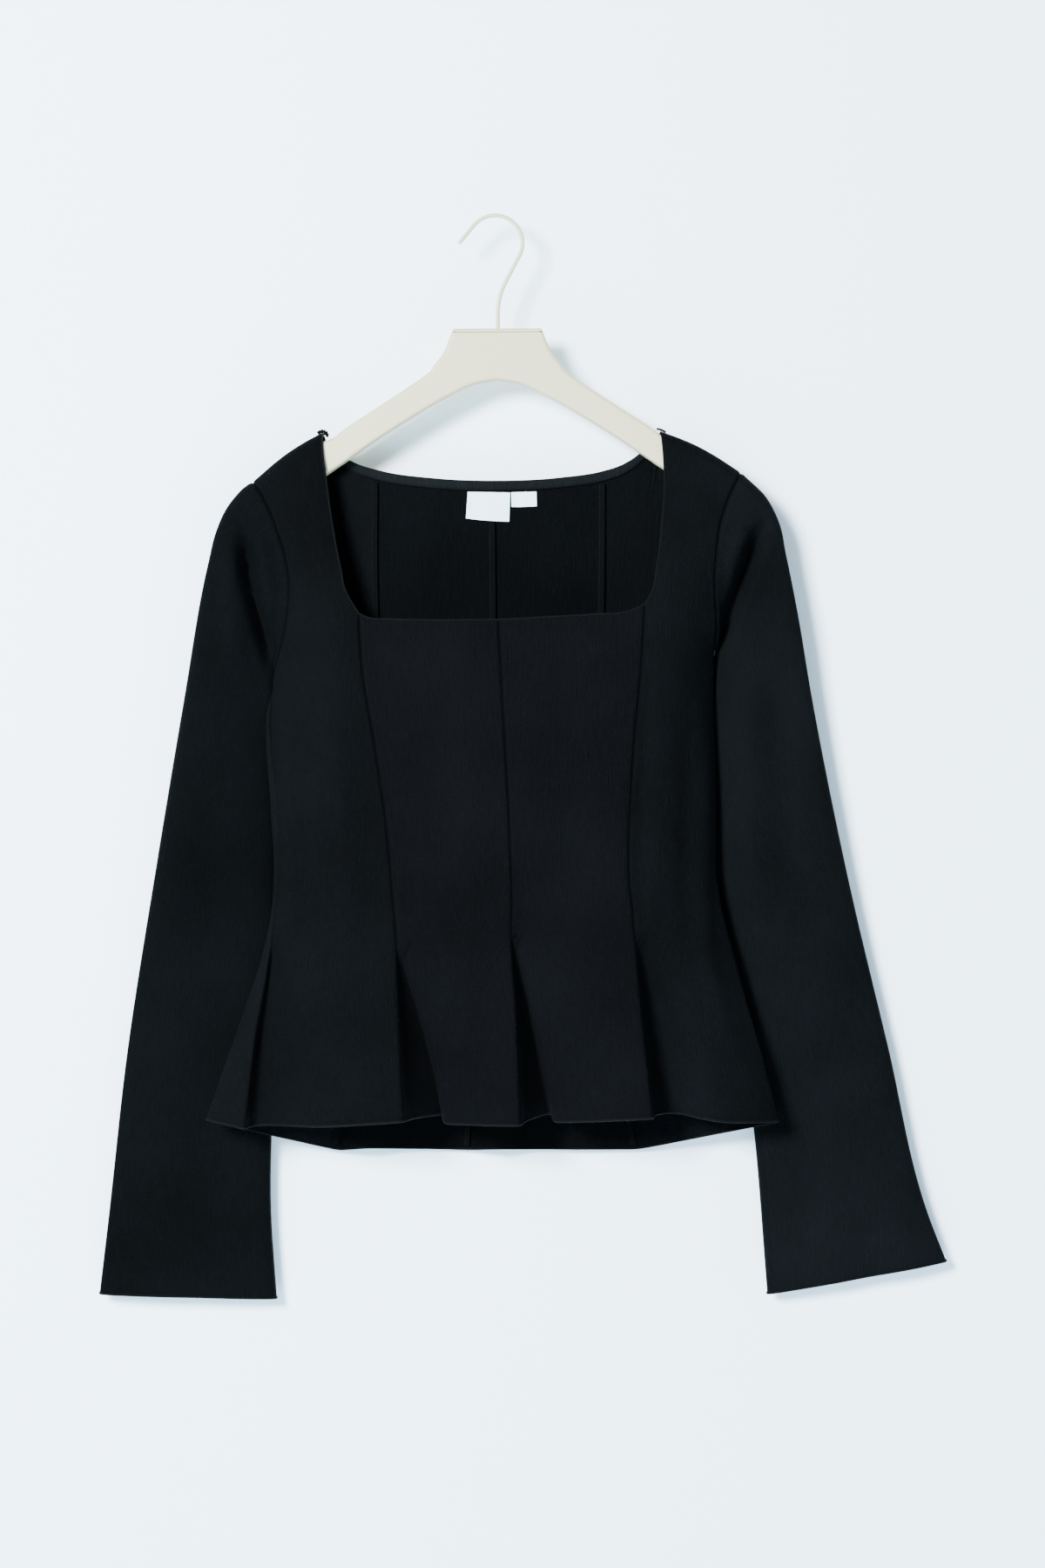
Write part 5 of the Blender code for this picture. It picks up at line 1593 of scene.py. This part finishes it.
class PEPLUM_OT_sleeves(bpy.types.Operator):
    """Builds the two sleeves"""

    bl_idname = "peplum.sleeves"
    bl_label = "Sleeves"

    def execute(self, context):
        for hand in ("left", "right"):
            build_sleeve(hand, context.scene.peplum_top)
        return {"FINISHED"}


class PEPLUM_OT_edges(bpy.types.Operator):
    """Builds the rolled edges of hem, cuffs and neckline"""

    bl_idname = "peplum.edges"
    bl_label = "Rolled edges"

    def execute(self, context):
        build_edges(context.scene.peplum_top)
        build_seam_ends(context.scene.peplum_top)
        return {"FINISHED"}


class PEPLUM_OT_allowances(bpy.types.Operator):
    """Builds the overlocked seam allowances inside the body"""

    bl_idname = "peplum.allowances"
    bl_label = "Seam allowances"

    def execute(self, context):
        build_allowances(context.scene.peplum_top)
        return {"FINISHED"}


class PEPLUM_OT_neck(bpy.types.Operator):
    """Builds the neck tape, its stitches and the two blank labels"""

    bl_idname = "peplum.neck"
    bl_label = "Neck tape and labels"

    def execute(self, context):
        build_neck_tape(context.scene.peplum_top)
        build_labels(context.scene.peplum_top)
        return {"FINISHED"}


class PEPLUM_OT_hanger(bpy.types.Operator):
    """Builds the moulded hanger and its wire hook"""

    bl_idname = "peplum.hanger"
    bl_label = "Hanger"

    def execute(self, context):
        build_hanger_body(context.scene.peplum_top)
        build_hook(context.scene.peplum_top)
        return {"FINISHED"}


OPERATORS = (
    PEPLUM_OT_stage,
    PEPLUM_OT_hanger,
    PEPLUM_OT_body,
    PEPLUM_OT_sleeves,
    PEPLUM_OT_edges,
    PEPLUM_OT_allowances,
    PEPLUM_OT_neck,
)


class PEPLUM_PT_panel(bpy.types.Panel):
    """Lists the sizes, colours and pieces of the top"""

    bl_idname = "PEPLUM_PT_panel"
    bl_label = "Peplum top"
    bl_space_type = "VIEW_3D"
    bl_region_type = "UI"
    bl_category = "Peplum top"

    def draw(self, context):
        settings = context.scene.peplum_top
        for key in settings.bl_rna.properties.keys():
            if key not in ("rna_type", "name"):
                self.layout.prop(settings, key)
        for operator in OPERATORS:
            self.layout.operator(operator.bl_idname)


def register():
    """Registers the settings, the operators and the panel."""
    for cls in (PeplumTopSettings, *OPERATORS, PEPLUM_PT_panel):
        bpy.utils.register_class(cls)
    bpy.types.Scene.peplum_top = PointerProperty(type=PeplumTopSettings)


def unregister():
    """Takes back what register has added."""
    del bpy.types.Scene.peplum_top
    for cls in (PEPLUM_PT_panel, *reversed(OPERATORS), PeplumTopSettings):
        bpy.utils.unregister_class(cls)


def main():
    register()
    for operator in OPERATORS:
        group, name = operator.bl_idname.split(".")
        getattr(getattr(bpy.ops, group), name)()


if __name__ == "__main__":
    main()
